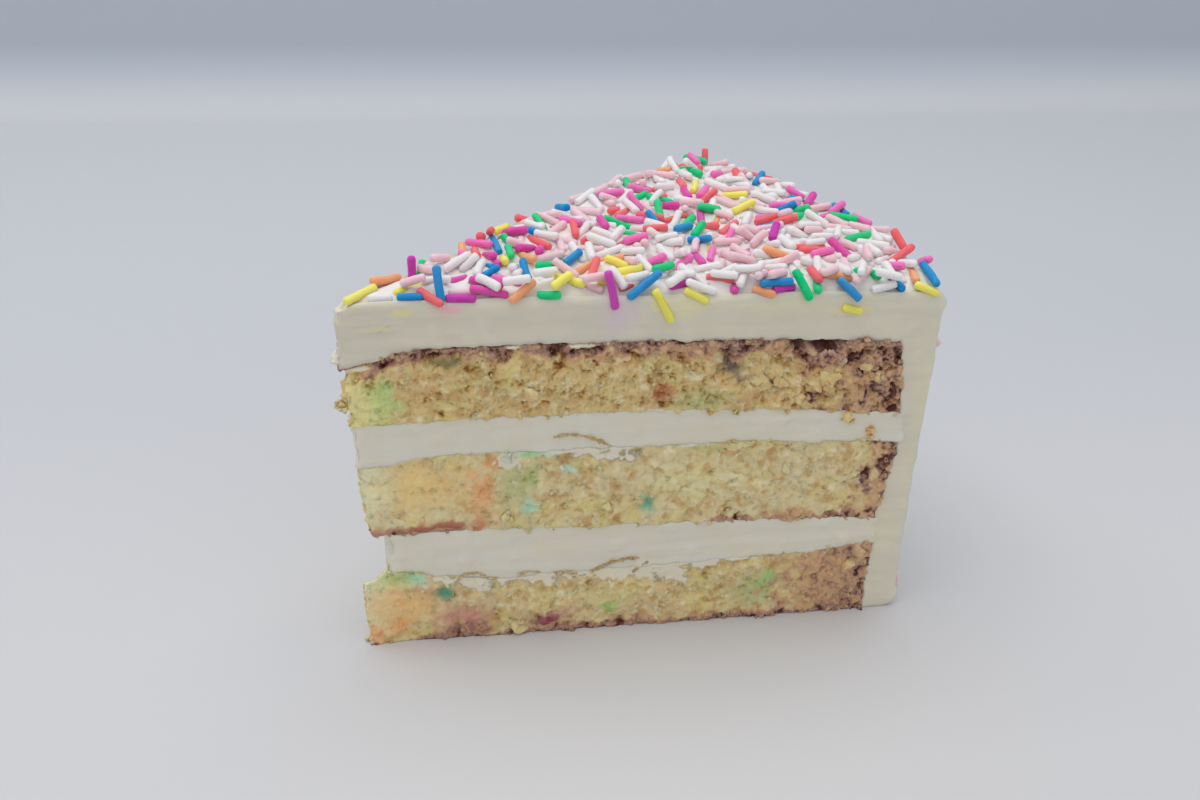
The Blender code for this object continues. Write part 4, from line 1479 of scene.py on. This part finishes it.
class StrandBed:
    """The top of the icing as a field of heights, on which strands come to rest one by one."""

    def __init__(self):
        reach = CAKE_RADIUS + LONG_STRAND
        self.xs = np.arange(-LONG_STRAND, reach, FIELD_CELL)
        self.ys = np.arange(-LONG_STRAND, reach * math.sin(SLICE_ANGLE) + LONG_STRAND, FIELD_CELL)
        rows = [[level_height(ICING_TOP, x, y) for y in self.ys] for x in self.xs]
        self.bare = np.array(rows)
        self.heights = self.bare - STRAND_SINK

    def sample(self, x, y, field=None):
        """Heights of the field, or values of another one, at arrays of points."""
        column = np.clip(np.rint((x - self.xs[0]) / FIELD_CELL).astype(int), 0, len(self.xs) - 1)
        row = np.clip(np.rint((y - self.ys[0]) / FIELD_CELL).astype(int), 0, len(self.ys) - 1)
        return (self.heights if field is None else field)[column, row]

    def pressed_cream(self):
        """How far cream rose between the strands as they were pressed in, evened out over the field."""
        rise = np.maximum(self.heights - self.bare, 0) * PRESSED_SHARE
        for _ in range(PRESSED_PASSES):
            for axis in (0, 1):
                rise = (np.roll(rise, 1, axis) + 2 * rise + np.roll(rise, -1, axis)) / 4
        return rise

    def rest(self, x, y, yaw, length):
        """Height and slope at which a strand lies on what is under it, by the two points that carry it."""
        shares = np.linspace(-0.5, 0.5, STRAND_SAMPLES) * length
        aside = STRAND_RADIUS * BESIDE
        cos, sin = math.cos(yaw), math.sin(yaw)
        under = self.sample(x + shares * cos, y + shares * sin)
        for side in (-aside, aside):
            beside = self.sample(x + shares * cos - side * sin, y + shares * sin + side * cos)
            under = np.maximum(under, beside - STRAND_RADIUS + math.sqrt(STRAND_RADIUS**2 - aside**2))
        left, right = shares < 0, shares > 0
        span = shares[right][None, :] - shares[left][:, None]
        slope = (under[right][None, :] - under[left][:, None]) / span
        height = under[left][:, None] - slope * shares[left][:, None]
        best = np.unravel_index(np.argmax(height), height.shape)
        return float(height[best]), float(slope[best])

    def add(self, strand):
        """Raises the field where a strand lies."""
        reach = strand.length / 2 + strand.radius
        inside_x = np.abs(self.xs - strand.middle.x) < reach
        inside_y = np.abs(self.ys - strand.middle.y) < reach
        x, y = np.meshgrid(self.xs[inside_x], self.ys[inside_y], indexing="ij")
        flat = math.hypot(strand.direction.x, strand.direction.y)
        dx, dy = strand.direction.x / flat, strand.direction.y / flat
        along = (x - strand.middle.x) * dx + (y - strand.middle.y) * dy
        across = (y - strand.middle.y) * dx - (x - strand.middle.x) * dy
        covered = (np.abs(along) < strand.length / 2 * flat) & (np.abs(across) < strand.radius)
        crown = np.sqrt(np.maximum(strand.radius**2 - across**2, 0))
        axis = strand.middle.z + along * strand.direction.z / flat
        cells = np.ix_(inside_x, inside_y)
        self.heights[cells] = np.maximum(self.heights[cells], np.where(covered, axis + crown, NOWHERE))


def lie(yaw, pitch):
    """The direction of a strand turned by a yaw and raised by a pitch."""
    return Vector((math.cos(yaw) * math.cos(pitch), math.sin(yaw) * math.cos(pitch), math.sin(pitch)))


def placed_strands():
    """The listed strands at the edges of the top."""
    strands = []
    for placed in PLACED_STRANDS:
        direction = lie(math.radians(placed.yaw), math.radians(placed.pitch))
        level = level_height(ICING_TOP, placed.along, placed.back)
        middle = Vector((placed.along, placed.back, level + placed.rise))
        strands.append(Strand(middle, direction, placed.length, STRAND_RADIUS, placed.colour))
    return strands


def on_the_top(x, y):
    """Whether a point lies on the top of the slice, inside its edges."""
    within_cuts = y > 0 and y * math.cos(SLICE_ANGLE) < x * math.sin(SLICE_ANGLE)
    return within_cuts and math.hypot(x, y) < CAKE_RADIUS


def settled(bed, x, y, yaw, length, radius, colour):
    """A strand that came to rest on what lies under it, and now lies there itself."""
    height, slope = bed.rest(x, y, yaw, length)
    middle = Vector((x, y, height + radius * math.hypot(1, slope) - STRAND_BITE))
    strand = Strand(middle, lie(yaw, math.atan(slope)), length, radius, colour)
    bed.add(strand)
    return strand


SINK_SHARES = (-0.3, 0, 0.3)


def sunk(strand):
    """A strand that sank with the icing's soft edges."""
    drop = 0
    for share in SINK_SHARES:
        place = strand.middle + strand.direction * strand.length * share
        along_back_cut = place.x * math.sin(SLICE_ANGLE) - place.y * math.cos(SLICE_ANGLE)
        nose = rounded_nose(math.hypot(place.x, place.y), 0, place).z
        drop += (edge_drop(place, max(0, min(place.y, along_back_cut))) + nose) / 3
    return strand._replace(middle=strand.middle - Vector((0, 0, drop)))


def low_place(bed, draw, length, on_edge, off_tip):
    """The lowest of several places for a strand, over the top or along its front edge: point and turn."""
    places = []
    while len(places) < STRAND_TRIES:
        x, y = polar(CAKE_RADIUS * math.sqrt(draw.random()), SLICE_ANGLE * draw.random())
        yaw = math.pi * draw.random()
        if on_edge:
            x, y = EDGE_SPREAD * CAKE_RADIUS * draw.random(), draw.uniform(*EDGE_BACK) * MM
            yaw = draw.gauss(0, EDGE_TURN)
        if off_tip and x < BARE_TIP:
            continue
        dx, dy = math.cos(yaw) * length / 2, math.sin(yaw) * length / 2
        if on_the_top(x - dx, y - dy) and on_the_top(x + dx, y + dy):
            height, slope = bed.rest(x, y, yaw, length)
            if not on_edge or abs(slope) < EDGE_SLOPE:
                places.append((height - level_height(ICING_TOP, x, y), x, y, yaw))
    return min(places)[1:]


@functools.cache
def strewn_strands():
    """All the strands of the top, and their bed: the placed ones, the scatter, longest first, the tip's."""
    draw = random.Random(STRAND_SEED)
    paint = random.Random(STRAND_SEED + 1)
    shares = [(colour, share) for colour, (_, share) in STRAND_COLOURS.items()]
    bed = StrandBed()
    strands = placed_strands()
    for strand in strands:
        bed.add(strand)
    scattered = STRAND_COUNT - len(strands)
    lengths = [draw.triangular(SHORT_STRAND, LONG_STRAND, USUAL_STRAND) for _ in range(scattered)]
    lengths.sort(reverse=True)
    for number, length in enumerate(lengths + [EDGE_STRAND] * EDGE_STRANDS):
        on_edge = number >= scattered
        x, y, yaw = low_place(bed, draw, length, on_edge, number >= BIG_STRANDS)
        radius = STRAND_RADIUS * draw.uniform(*STRAND_GIRTHS)
        pale = blend(*PALE_SHARES, smooth(*PALE_RISE, x / CAKE_RADIUS))
        weights = [share * (pale if name in PALE else 1) for name, share in shares]
        colour = paint.choices([name for name, _ in shares], weights)[0]
        if on_edge:
            colour = paint.choice(EDGE_PAINTS)
        elif x < LONE_TIP:
            colour = LONE_COLOUR
        strands.append(settled(bed, x, y, yaw, length, radius, colour))
    for along, back, turn, length, colour in TIP_STRANDS:
        x, y, yaw = along * MM, back * MM, math.radians(turn)
        strands.append(settled(bed, x, y, yaw, length * MM, STRAND_RADIUS, colour))
    return [sunk(strand) for strand in strands], bed


# Strands that stuck to the icing's side near the front: along, back, up, direction, length and colour
SIDE_STRANDS = (
    (110.2, 4.0, 61.5, (0.55, -0.45, -0.70), 4.6, "blush"),
    (110.6, 1.6, 5.8, (0.1, 0.3, 1.0), 3.2, "blush"),
)


def side_strands():
    """The strands that stuck to the icing's side."""
    strands = []
    for along, back, up, direction, length, colour in SIDE_STRANDS:
        middle = Vector((along, back, up)) * MM
        strands.append(Strand(middle, Vector(direction).normalized(), length * MM, STRAND_RADIUS, colour))
    return strands


STRAND_SIDES = 10
STRAND_RINGS = 5
STRAND_BENDS = (0.0, 0.0, 0.06, 0.14)
# How long a strand's rounded end is in radii, and its outline as shares of that length and of the radius
CAP_LENGTHS = (0.45, 0.95)
CAP = ((0, 0.0), (0.12, 0.55), (0.45, 0.88), (1, 1.0))


def strand_points(strand, draw):
    """Rings of points down a strand, from one rounded end to the other, with the strand's own bend."""
    side = strand.direction.orthogonal().normalized()
    other = strand.direction.cross(side)
    bend_turn = draw.uniform(0, math.tau)
    bend = draw.choice(STRAND_BENDS) * strand.length
    bend_side = side * math.cos(bend_turn) + other * math.sin(bend_turn)
    half = strand.length / 2
    cap = strand.radius * draw.uniform(*CAP_LENGTHS)
    start = [(-half + cap * reach, girth) for reach, girth in CAP]
    stops = list(start)
    for ring in range(1, STRAND_RINGS):
        stops.append((blend(-half + cap, half - cap, ring / STRAND_RINGS), draw.uniform(0.96, 1.04)))
    stops += [(-reach, girth) for reach, girth in reversed(start)]
    rings = []
    for reach, girth in stops:
        centre = strand.middle + strand.direction * reach
        centre += bend_side * bend * (0.25 - (reach / strand.length) ** 2)
        ring = []
        for step in range(STRAND_SIDES):
            turn = math.tau * step / STRAND_SIDES
            out = side * math.cos(turn) + other * math.sin(turn)
            ring.append(centre + out * strand.radius * girth)
        rings.append(ring)
    return rings


def strands_mesh(name, strands, seed):
    """All the strands of one colour, joined into one mesh, with a tone for each strand."""
    draw = random.Random(seed)
    block = bmesh.new()
    tones = []
    for strand in strands:
        rings = strand_points(strand, draw)
        tone = draw.uniform(-1, 1)
        ends = [block.verts.new(rings[0][0]), block.verts.new(rings[-1][0])]
        loops = [[block.verts.new(point) for point in ring] for ring in rings[1:-1]]
        for step in range(STRAND_SIDES):
            after = (step + 1) % STRAND_SIDES
            block.faces.new((ends[0], loops[0][after], loops[0][step]))
            block.faces.new((ends[1], loops[-1][step], loops[-1][after]))
            for low, high in zip(loops, loops[1:]):
                block.faces.new((low[step], low[after], high[after], high[step]))
        tones += [tone] * (2 + STRAND_SIDES * len(loops))
    mesh = mesh_from(block, name)
    mesh.attributes.new("tone", "FLOAT", "POINT").data.foreach_set("value", tones)
    return mesh


CHALK = Vector(linear("ede9e7"))


def glazed_sugar(name, hex_colour, settings):
    """Sugar paste drawn into strands and glazed: even colour, a thin wax shine over a chalky core."""
    made, tree = new_material(f"glazed_sugar_{name}")
    colour = Vector(linear(hex_colour))
    place = add_node(tree, "ShaderNodeTexCoord", "Object")
    tone = add_node(tree, "ShaderNodeAttribute", "Fac", attribute_name="tone")
    # Chalky mottling of about 1.2 mm where the glaze is thin
    size = {"Vector": place, "Scale": 1 / (1.2 * MM), "Detail": 2.0}
    mottle = add_node(tree, "ShaderNodeTexNoise", "Fac", size)
    shade = add_node(tree, "ShaderNodeMath", 0, {0: tone, 1: 0.35, 2: mottle}, operation="MULTIPLY_ADD")
    limits = {"Value": shade, "From Min": 0.1, "From Max": 0.9}
    share = add_node(tree, "ShaderNodeMapRange", "Result", limits)
    chalky = colour.lerp(CHALK, settings.chalk)
    colours = {0: share, 6: (*colour, 1), 7: (*chalky, 1)}
    body = add_node(tree, "ShaderNodeMix", 2, colours, data_type="RGBA")
    lift = {"Height": mottle, "Strength": 0.15, "Distance": 0.15 * MM}
    bump = add_node(tree, "ShaderNodeBump", "Normal", lift)
    surface = {
        "Base Color": body,
        "Roughness": settings.roughness,
        "IOR": 1.5,
        "Specular IOR Level": 0.14,
        "Subsurface Weight": 0.9,
        "Subsurface Radius": (1.0, 1.0, 1.0),
        "Subsurface Scale": 1.6 * MM,
        "Normal": bump,
    }
    shader = add_node(tree, "ShaderNodeBsdfPrincipled", "BSDF", surface)
    add_node(tree, "ShaderNodeOutputMaterial", None, {"Surface": shader})
    return made


# ---------------------------------------------------------------- settings


def length_setting(name, description, millimetres):
    """A length, from its default in millimetres."""
    return FloatProperty(name=name, description=description, default=millimetres * MM, unit="LENGTH")


def count_setting(name, description, number):
    """A whole number."""
    return IntProperty(name=name, description=description, default=number)


def colour_setting(name, description, hex_colour):
    """A colour, from its default in sRGB."""
    default = linear(hex_colour)
    return FloatVectorProperty(name=name, description=description, default=default, subtype="COLOR")


def turn_setting(name, description, degrees):
    """An angle, from its default in degrees."""
    return FloatProperty(name=name, description=description, default=math.radians(degrees), unit="ROTATION")


def share_setting(name, description, share):
    """A share between 0 and 1."""
    return FloatProperty(name=name, description=description, default=share, subtype="FACTOR", min=0, max=1)


class CrumbSettings(bpy.types.PropertyGroup):
    """Sizes and colours of the torn sponge."""

    clump: length_setting("Clump", "Width of a hollow or a rise in the crumb", 2.8)
    clump_depth: length_setting("Clump depth", "How far they go in or out", 0.75)
    clod: length_setting("Clod", "Spacing of clods that broke apart", 2.0)
    clod_depth: length_setting("Clod depth", "How far clods stand out", 0.9)
    grit_depth: length_setting("Grit depth", "Fine roughness of the crumb", 0.26)
    pore_spacing: length_setting("Pore spacing", "Distance between steam pores", 2.7)
    pore_depth: length_setting("Pore depth", "Depth of steam pores", 0.75)
    tear: length_setting("Tear", "How far crumbs lean over each other", 0.28)
    crumbs: count_setting("Crumbs", "Loose crumbs on each cut face of a sponge", 650)
    crumb_width: length_setting("Crumb width", "Width of the largest loose crumbs", 1.1)
    mesh_cell: length_setting("Mesh cell", "Spacing of the mesh on the cut faces", 0.27)
    around: count_setting("Around", "Divisions round a sponge", 8)
    top_tone: colour_setting("Top sponge", "Crumb of the top sponge", "ebcd92")
    middle_tone: colour_setting("Middle sponge", "Crumb of the middle one", "ead8a8")
    bottom_tone: colour_setting("Bottom sponge", "Crumb of the bottom one", "e8d09e")
    pale: colour_setting("Pale crumb", "Crumb that stands out", "f8ebc2")
    yellow: colour_setting("Yellow crumb", "Eggier parts of the crumb", "ead894")
    tan: colour_setting("Tan crumb", "Better baked blotches", "d6b078")
    # Painted highlight, screened onto the crumb where its relief stands out
    lit: colour_setting("Lit crumb", "What edges that stand out add", "5c5240")
    # Painted shade, multiplied into the crumb where its relief sinks into pores
    painted_pore_shade: colour_setting("Pore shade", "What pores do to the colour", "d8c092")
    crust_tan: colour_setting("Tan crust", "Just browned crumb", "daae86")
    # Real brown crust, and painted shade in hollows where the relief sinks, even in pale crumb
    crust_brown_and_hollow_shade: colour_setting("Brown crust", "Baked crust", "b8917f")
    # Real darkest crust, and painted shade in deep hollows and in the seam line under the icing
    crust_dark_and_shade: colour_setting("Dark crust", "The darkest edge of the crust", "6a4743")


class CreamSettings(bpy.types.PropertyGroup):
    """Sizes and colours of the buttercream."""

    drag_length: length_setting("Drag length", "Length of a knife drag", 26)
    drag_width: length_setting("Drag width", "Spacing of knife drags", 2.2)
    drag_depth: length_setting("Drag depth", "Depth of knife drags", 0.22)
    lump_depth: length_setting("Lump depth", "How far torn lumps stand out", 0.30)
    tip_lumps: FloatProperty(
        name="Tip lumps", description="How much rougher the cream is at the tip", default=3.0
    )
    mesh_cell: length_setting("Mesh cell", "Spacing of the mesh on the fillings", 0.45)
    around: count_setting("Around", "Divisions round a filling", 8)
    icing_along: count_setting("Icing along", "Divisions from tip to shoulder", 230)
    icing_corner: count_setting("Icing corner", "Divisions round the shoulder", 8)
    icing_side: count_setting("Icing side", "Divisions down the side", 100)
    icing_around: count_setting("Icing around", "Divisions round the icing", 96)
    icing_rows: count_setting("Icing rows", "Divisions through the icing", 20)
    coat_tone: colour_setting("Icing", "Colour of the icing", "ded8c8")
    filling_tone: colour_setting("Fillings", "Colour of the fillings", "e8e4d7")
    butter: colour_setting("Butter", "Richer streaks of the cream", "e7e0ca")


class StrandSettings(bpy.types.PropertyGroup):
    """Finish of the sugar strands."""

    roughness: share_setting("Roughness", "Dullness of the glaze", 0.42)
    chalk: share_setting("Chalk", "How chalky the palest parts of a strand are", 0.06)


class StageSettings(bpy.types.PropertyGroup):
    """Floor, lights and camera."""

    floor: colour_setting("Floor", "Colour of the floor", "cacbcf")
    # Painted light: the floor is painted paler in front
    floor_painted_light: colour_setting("Near floor", "Colour of the floor in front", "d3d2d3")
    # Painted shade: the card's upright part is painted a darker grey-blue
    backdrop_painted_shade: colour_setting("Backdrop", "Colour of its upright part", "bec5cf")
    sky: colour_setting("Sky", "Colour of the light from all round", "ebedf0")
    sky_strength: FloatProperty(name="Sky strength", description="Brightness of that light", default=0.74)
    key_power: FloatProperty(
        name="Key power", description="Power of the large light overhead", default=6.8, unit="POWER"
    )
    camera_from_tip: FloatVectorProperty(
        name="Camera from tip",
        description="The camera's place, from the foot of the slice's tip",
        default=(0.0136, -0.1899, 0.1575),
        subtype="TRANSLATION",
        unit="LENGTH",
    )
    camera_heading: turn_setting("Heading", "Turn to the right of straight back", 9.553)
    camera_pitch: turn_setting("Pitch", "How far the camera looks down", 28.476)
    camera_roll: turn_setting("Roll", "Lean of the camera", 2.0)
    lens: FloatProperty(
        name="Lens", description="Focal length on a 36 mm sensor", default=35.757, unit="CAMERA"
    )


# ---------------------------------------------------------------- operators


class CAKE_OT_sponges(bpy.types.Operator):
    """Dresses the three sponges in torn, browned and stained crumb"""

    bl_idname = "cake.sponges"
    bl_label = "Sponges"

    def execute(self, context):
        crumb = context.scene.cake_crumb
        tones = {
            "sponge_bottom": crumb.bottom_tone,
            "sponge_middle": crumb.middle_tone,
            "sponge_top": crumb.top_tone,
        }
        for name, tone in tones.items():
            mesh = sponge_mesh(name, crumb, context.scene.cake_cream)
            add_piece(f"{name}_crumb", mesh, butter_sponge(name, tone, crumb), name)
        return {"FINISHED"}


class CAKE_OT_fillings(bpy.types.Operator):
    """Dresses the two fillings in whipped buttercream"""

    bl_idname = "cake.fillings"
    bl_label = "Fillings"

    def execute(self, context):
        cream = context.scene.cake_cream
        finish = whipped_buttercream("filling", cream.filling_tone, cream)
        for name in ("filling_lower", "filling_upper"):
            add_piece(f"{name}_cream", filling_mesh(name, cream), finish, name)
        add_piece("cream_lumps", lumps_mesh(), finish)
        return {"FINISHED"}


class CAKE_OT_icing(bpy.types.Operator):
    """Dresses the icing in whipped buttercream"""

    bl_idname = "cake.icing"
    bl_label = "Icing"

    def execute(self, context):
        cream = context.scene.cake_cream
        finish = whipped_buttercream("icing", cream.coat_tone, cream)
        add_piece("icing_cream", icing_mesh(cream), finish, "icing")
        return {"FINISHED"}


class CAKE_OT_strands(bpy.types.Operator):
    """Strews the top with glazed sugar strands, one piece for each colour"""

    bl_idname = "cake.strands"
    bl_label = "Sugar strands"

    def execute(self, context):
        settings = context.scene.cake_strands
        strands = strewn_strands()[0] + side_strands()
        for seed, (name, (hex_colour, _)) in enumerate(STRAND_COLOURS.items()):
            of_colour = [strand for strand in strands if strand.colour == name]
            if not of_colour:
                raise RuntimeError(f"no strand came out {name}")
            mesh = strands_mesh(f"strands_{name}", of_colour, seed)
            add_piece(f"strands_{name}", mesh, glazed_sugar(name, hex_colour, settings), "icing")
        return {"FINISHED"}


class CAKE_OT_stage(bpy.types.Operator):
    """Sets the floor, the soft light and the camera"""

    bl_idname = "cake.stage"
    bl_label = "Stage"

    def execute(self, context):
        stage = context.scene.cake_stage
        scene = context.scene
        add_floor(stage)
        scene.world = soft_sky(stage)
        add_softbox(stage)
        scene.camera = photo_camera(stage)
        scene.view_settings.view_transform = "Standard"
        return {"FINISHED"}


FLOOR_HALF = 2.5
SWEEP_START = 0.355
SWEEP_RADIUS = 0.03
SWEEP_STEPS = 24
PAINTED_SHADE_TOP = 0.022
PAINTED_LIGHT_FROM = 0.12
PAINTED_LIGHT_TO = -0.04


def graded_card(stage):
    """Heavy matt card with hardly any shine, painted paler in front as painted light and a darker grey-blue
    on its upright part as painted shade.
    """
    made, tree = new_material("graded_card")
    place = add_node(tree, "ShaderNodeTexCoord", "Object")
    # Painted shade: the card is painted darker grey-blue as it rises into its upright part
    height = add_node(tree, "ShaderNodeSeparateXYZ", "Z", {"Vector": place})
    limits = {"Value": height, "From Min": 0.0, "From Max": PAINTED_SHADE_TOP}
    painted_shade_grade = add_node(tree, "ShaderNodeMapRange", "Result", limits, interpolation_type="SMOOTHSTEP")
    # Painted light: the floor is painted paler towards the front
    depth = add_node(tree, "ShaderNodeSeparateXYZ", "Y", {"Vector": place})
    limits = {"Value": depth, "From Min": PAINTED_LIGHT_FROM, "From Max": PAINTED_LIGHT_TO}
    near = add_node(tree, "ShaderNodeMapRange", "Result", limits, interpolation_type="SMOOTHSTEP")
    colours = {0: near, 6: (*stage.floor, 1), 7: (*stage.floor_painted_light, 1)}
    pale = add_node(tree, "ShaderNodeMix", 2, colours, data_type="RGBA")
    colours = {0: painted_shade_grade, 6: pale, 7: (*stage.backdrop_painted_shade, 1)}
    body = add_node(tree, "ShaderNodeMix", 2, colours, data_type="RGBA")
    # Card fibre, drawn at about 4 mm so that it shows at all
    size = {"Vector": place, "Scale": 1 / (4 * MM), "Detail": 3.0}
    fibre = add_node(tree, "ShaderNodeTexNoise", "Fac", size)
    lift = {"Height": fibre, "Strength": 0.05, "Distance": 0.2 * MM}
    bump = add_node(tree, "ShaderNodeBump", "Normal", lift)
    surface = {"Base Color": body, "Roughness": 0.75, "Specular IOR Level": 0.2, "Normal": bump}
    shader = add_node(tree, "ShaderNodeBsdfPrincipled", "BSDF", surface)
    add_node(tree, "ShaderNodeOutputMaterial", None, {"Surface": shader})
    return made


def add_floor(stage):
    """A sheet of pale card: flat under the slice, then swept up behind it."""
    profile = [(-FLOOR_HALF, 0), (SWEEP_START, 0)]
    for step in range(1, SWEEP_STEPS + 1):
        turn = math.pi / 2 * step / SWEEP_STEPS
        profile.append((SWEEP_START + SWEEP_RADIUS * math.sin(turn), SWEEP_RADIUS * (1 - math.cos(turn))))
    profile.append((SWEEP_START + SWEEP_RADIUS, FLOOR_HALF))
    block = bmesh.new()
    corners = [block.verts.new((-FLOOR_HALF, y, z)) for y, z in profile]
    edges = [block.edges.new(pair) for pair in zip(corners, corners[1:])]
    grown = bmesh.ops.extrude_edge_only(block, edges=edges)["geom"]
    moved = [item for item in grown if isinstance(item, bmesh.types.BMVert)]
    bmesh.ops.translate(block, vec=(2 * FLOOR_HALF, 0, 0), verts=moved)
    mesh = bpy.data.meshes.new("floor")
    block.to_mesh(mesh)
    block.free()
    mesh.materials.append(graded_card(stage))
    mesh.shade_smooth()
    add_object("floor", mesh)


def soft_sky(stage):
    """Even light from all round, as from a bright overcast window wall."""
    world = bpy.data.worlds.new("soft_sky")
    world.use_nodes = True
    tree = world.node_tree
    tree.nodes.clear()
    light = {"Color": (*stage.sky, 1), "Strength": stage.sky_strength}
    glow = add_node(tree, "ShaderNodeBackground", "Background", light)
    add_node(tree, "ShaderNodeOutputWorld", None, {"Surface": glow})
    return world


SOFTBOX_SIZE = (1.2, 0.9)
SOFTBOX_PLACE = (-0.10, 0.22, 0.85)
SOFTBOX_AIM = (0, 0, 0.04)


def add_softbox(stage):
    """A large light overhead, a little behind the slice, so that its top is brighter than its cut face."""
    lamp = bpy.data.lights.new("softbox", "AREA")
    lamp.shape = "RECTANGLE"
    lamp.size, lamp.size_y = SOFTBOX_SIZE
    lamp.energy = stage.key_power
    light = add_object("softbox", lamp)
    light.location = SOFTBOX_PLACE
    light.visible_camera = False
    light.rotation_mode = "QUATERNION"
    light.rotation_quaternion = (Vector(SOFTBOX_AIM) - light.location).to_track_quat("-Z", "Y")


SENSOR_WIDTH = 36
CLIP_RANGE = (0.01, 10)


def photo_camera(stage):
    """The camera: its place from the tip, turned by heading, pitch and roll."""
    lens = bpy.data.cameras.new("photo_camera")
    lens.lens = stage.lens
    lens.sensor_width = SENSOR_WIDTH
    lens.clip_start, lens.clip_end = CLIP_RANGE
    camera = add_object("photo_camera", lens)
    camera.location = TIP + Vector(stage.camera_from_tip)
    level_ahead = Matrix.Rotation(math.radians(90) - stage.camera_pitch, 4, "X")
    heading = Matrix.Rotation(-stage.camera_heading, 4, "Z")
    roll = Matrix.Rotation(stage.camera_roll, 4, "Z")
    camera.rotation_mode = "QUATERNION"
    camera.rotation_quaternion = (heading @ level_ahead @ roll).to_quaternion()
    return camera


OPERATORS = (CAKE_OT_sponges, CAKE_OT_fillings, CAKE_OT_icing, CAKE_OT_strands, CAKE_OT_stage)


class CAKE_PT_slice(bpy.types.Panel):
    """Lists the steps that dress the slice"""

    bl_label = "Birthday Cake Slice"
    bl_idname = "CAKE_PT_slice"
    bl_space_type = "VIEW_3D"
    bl_region_type = "UI"
    bl_category = "Cake"

    def draw(self, context):
        for step in OPERATORS:
            self.layout.operator(step.bl_idname)


SETTINGS = {
    "cake_crumb": CrumbSettings,
    "cake_cream": CreamSettings,
    "cake_strands": StrandSettings,
    "cake_stage": StageSettings,
}


def register():
    for group in (*SETTINGS.values(), *OPERATORS, CAKE_PT_slice):
        bpy.utils.register_class(group)
    for name, group in SETTINGS.items():
        setattr(bpy.types.Scene, name, PointerProperty(type=group))


def unregister():
    for name in SETTINGS:
        delattr(bpy.types.Scene, name)
    for group in (CAKE_PT_slice, *reversed(OPERATORS), *reversed(SETTINGS.values())):
        bpy.utils.unregister_class(group)


def main():
    register()
    bpy.ops.cake.sponges()
    bpy.ops.cake.fillings()
    bpy.ops.cake.icing()
    bpy.ops.cake.strands()
    bpy.ops.cake.stage()


if __name__ == "__main__":
    main()
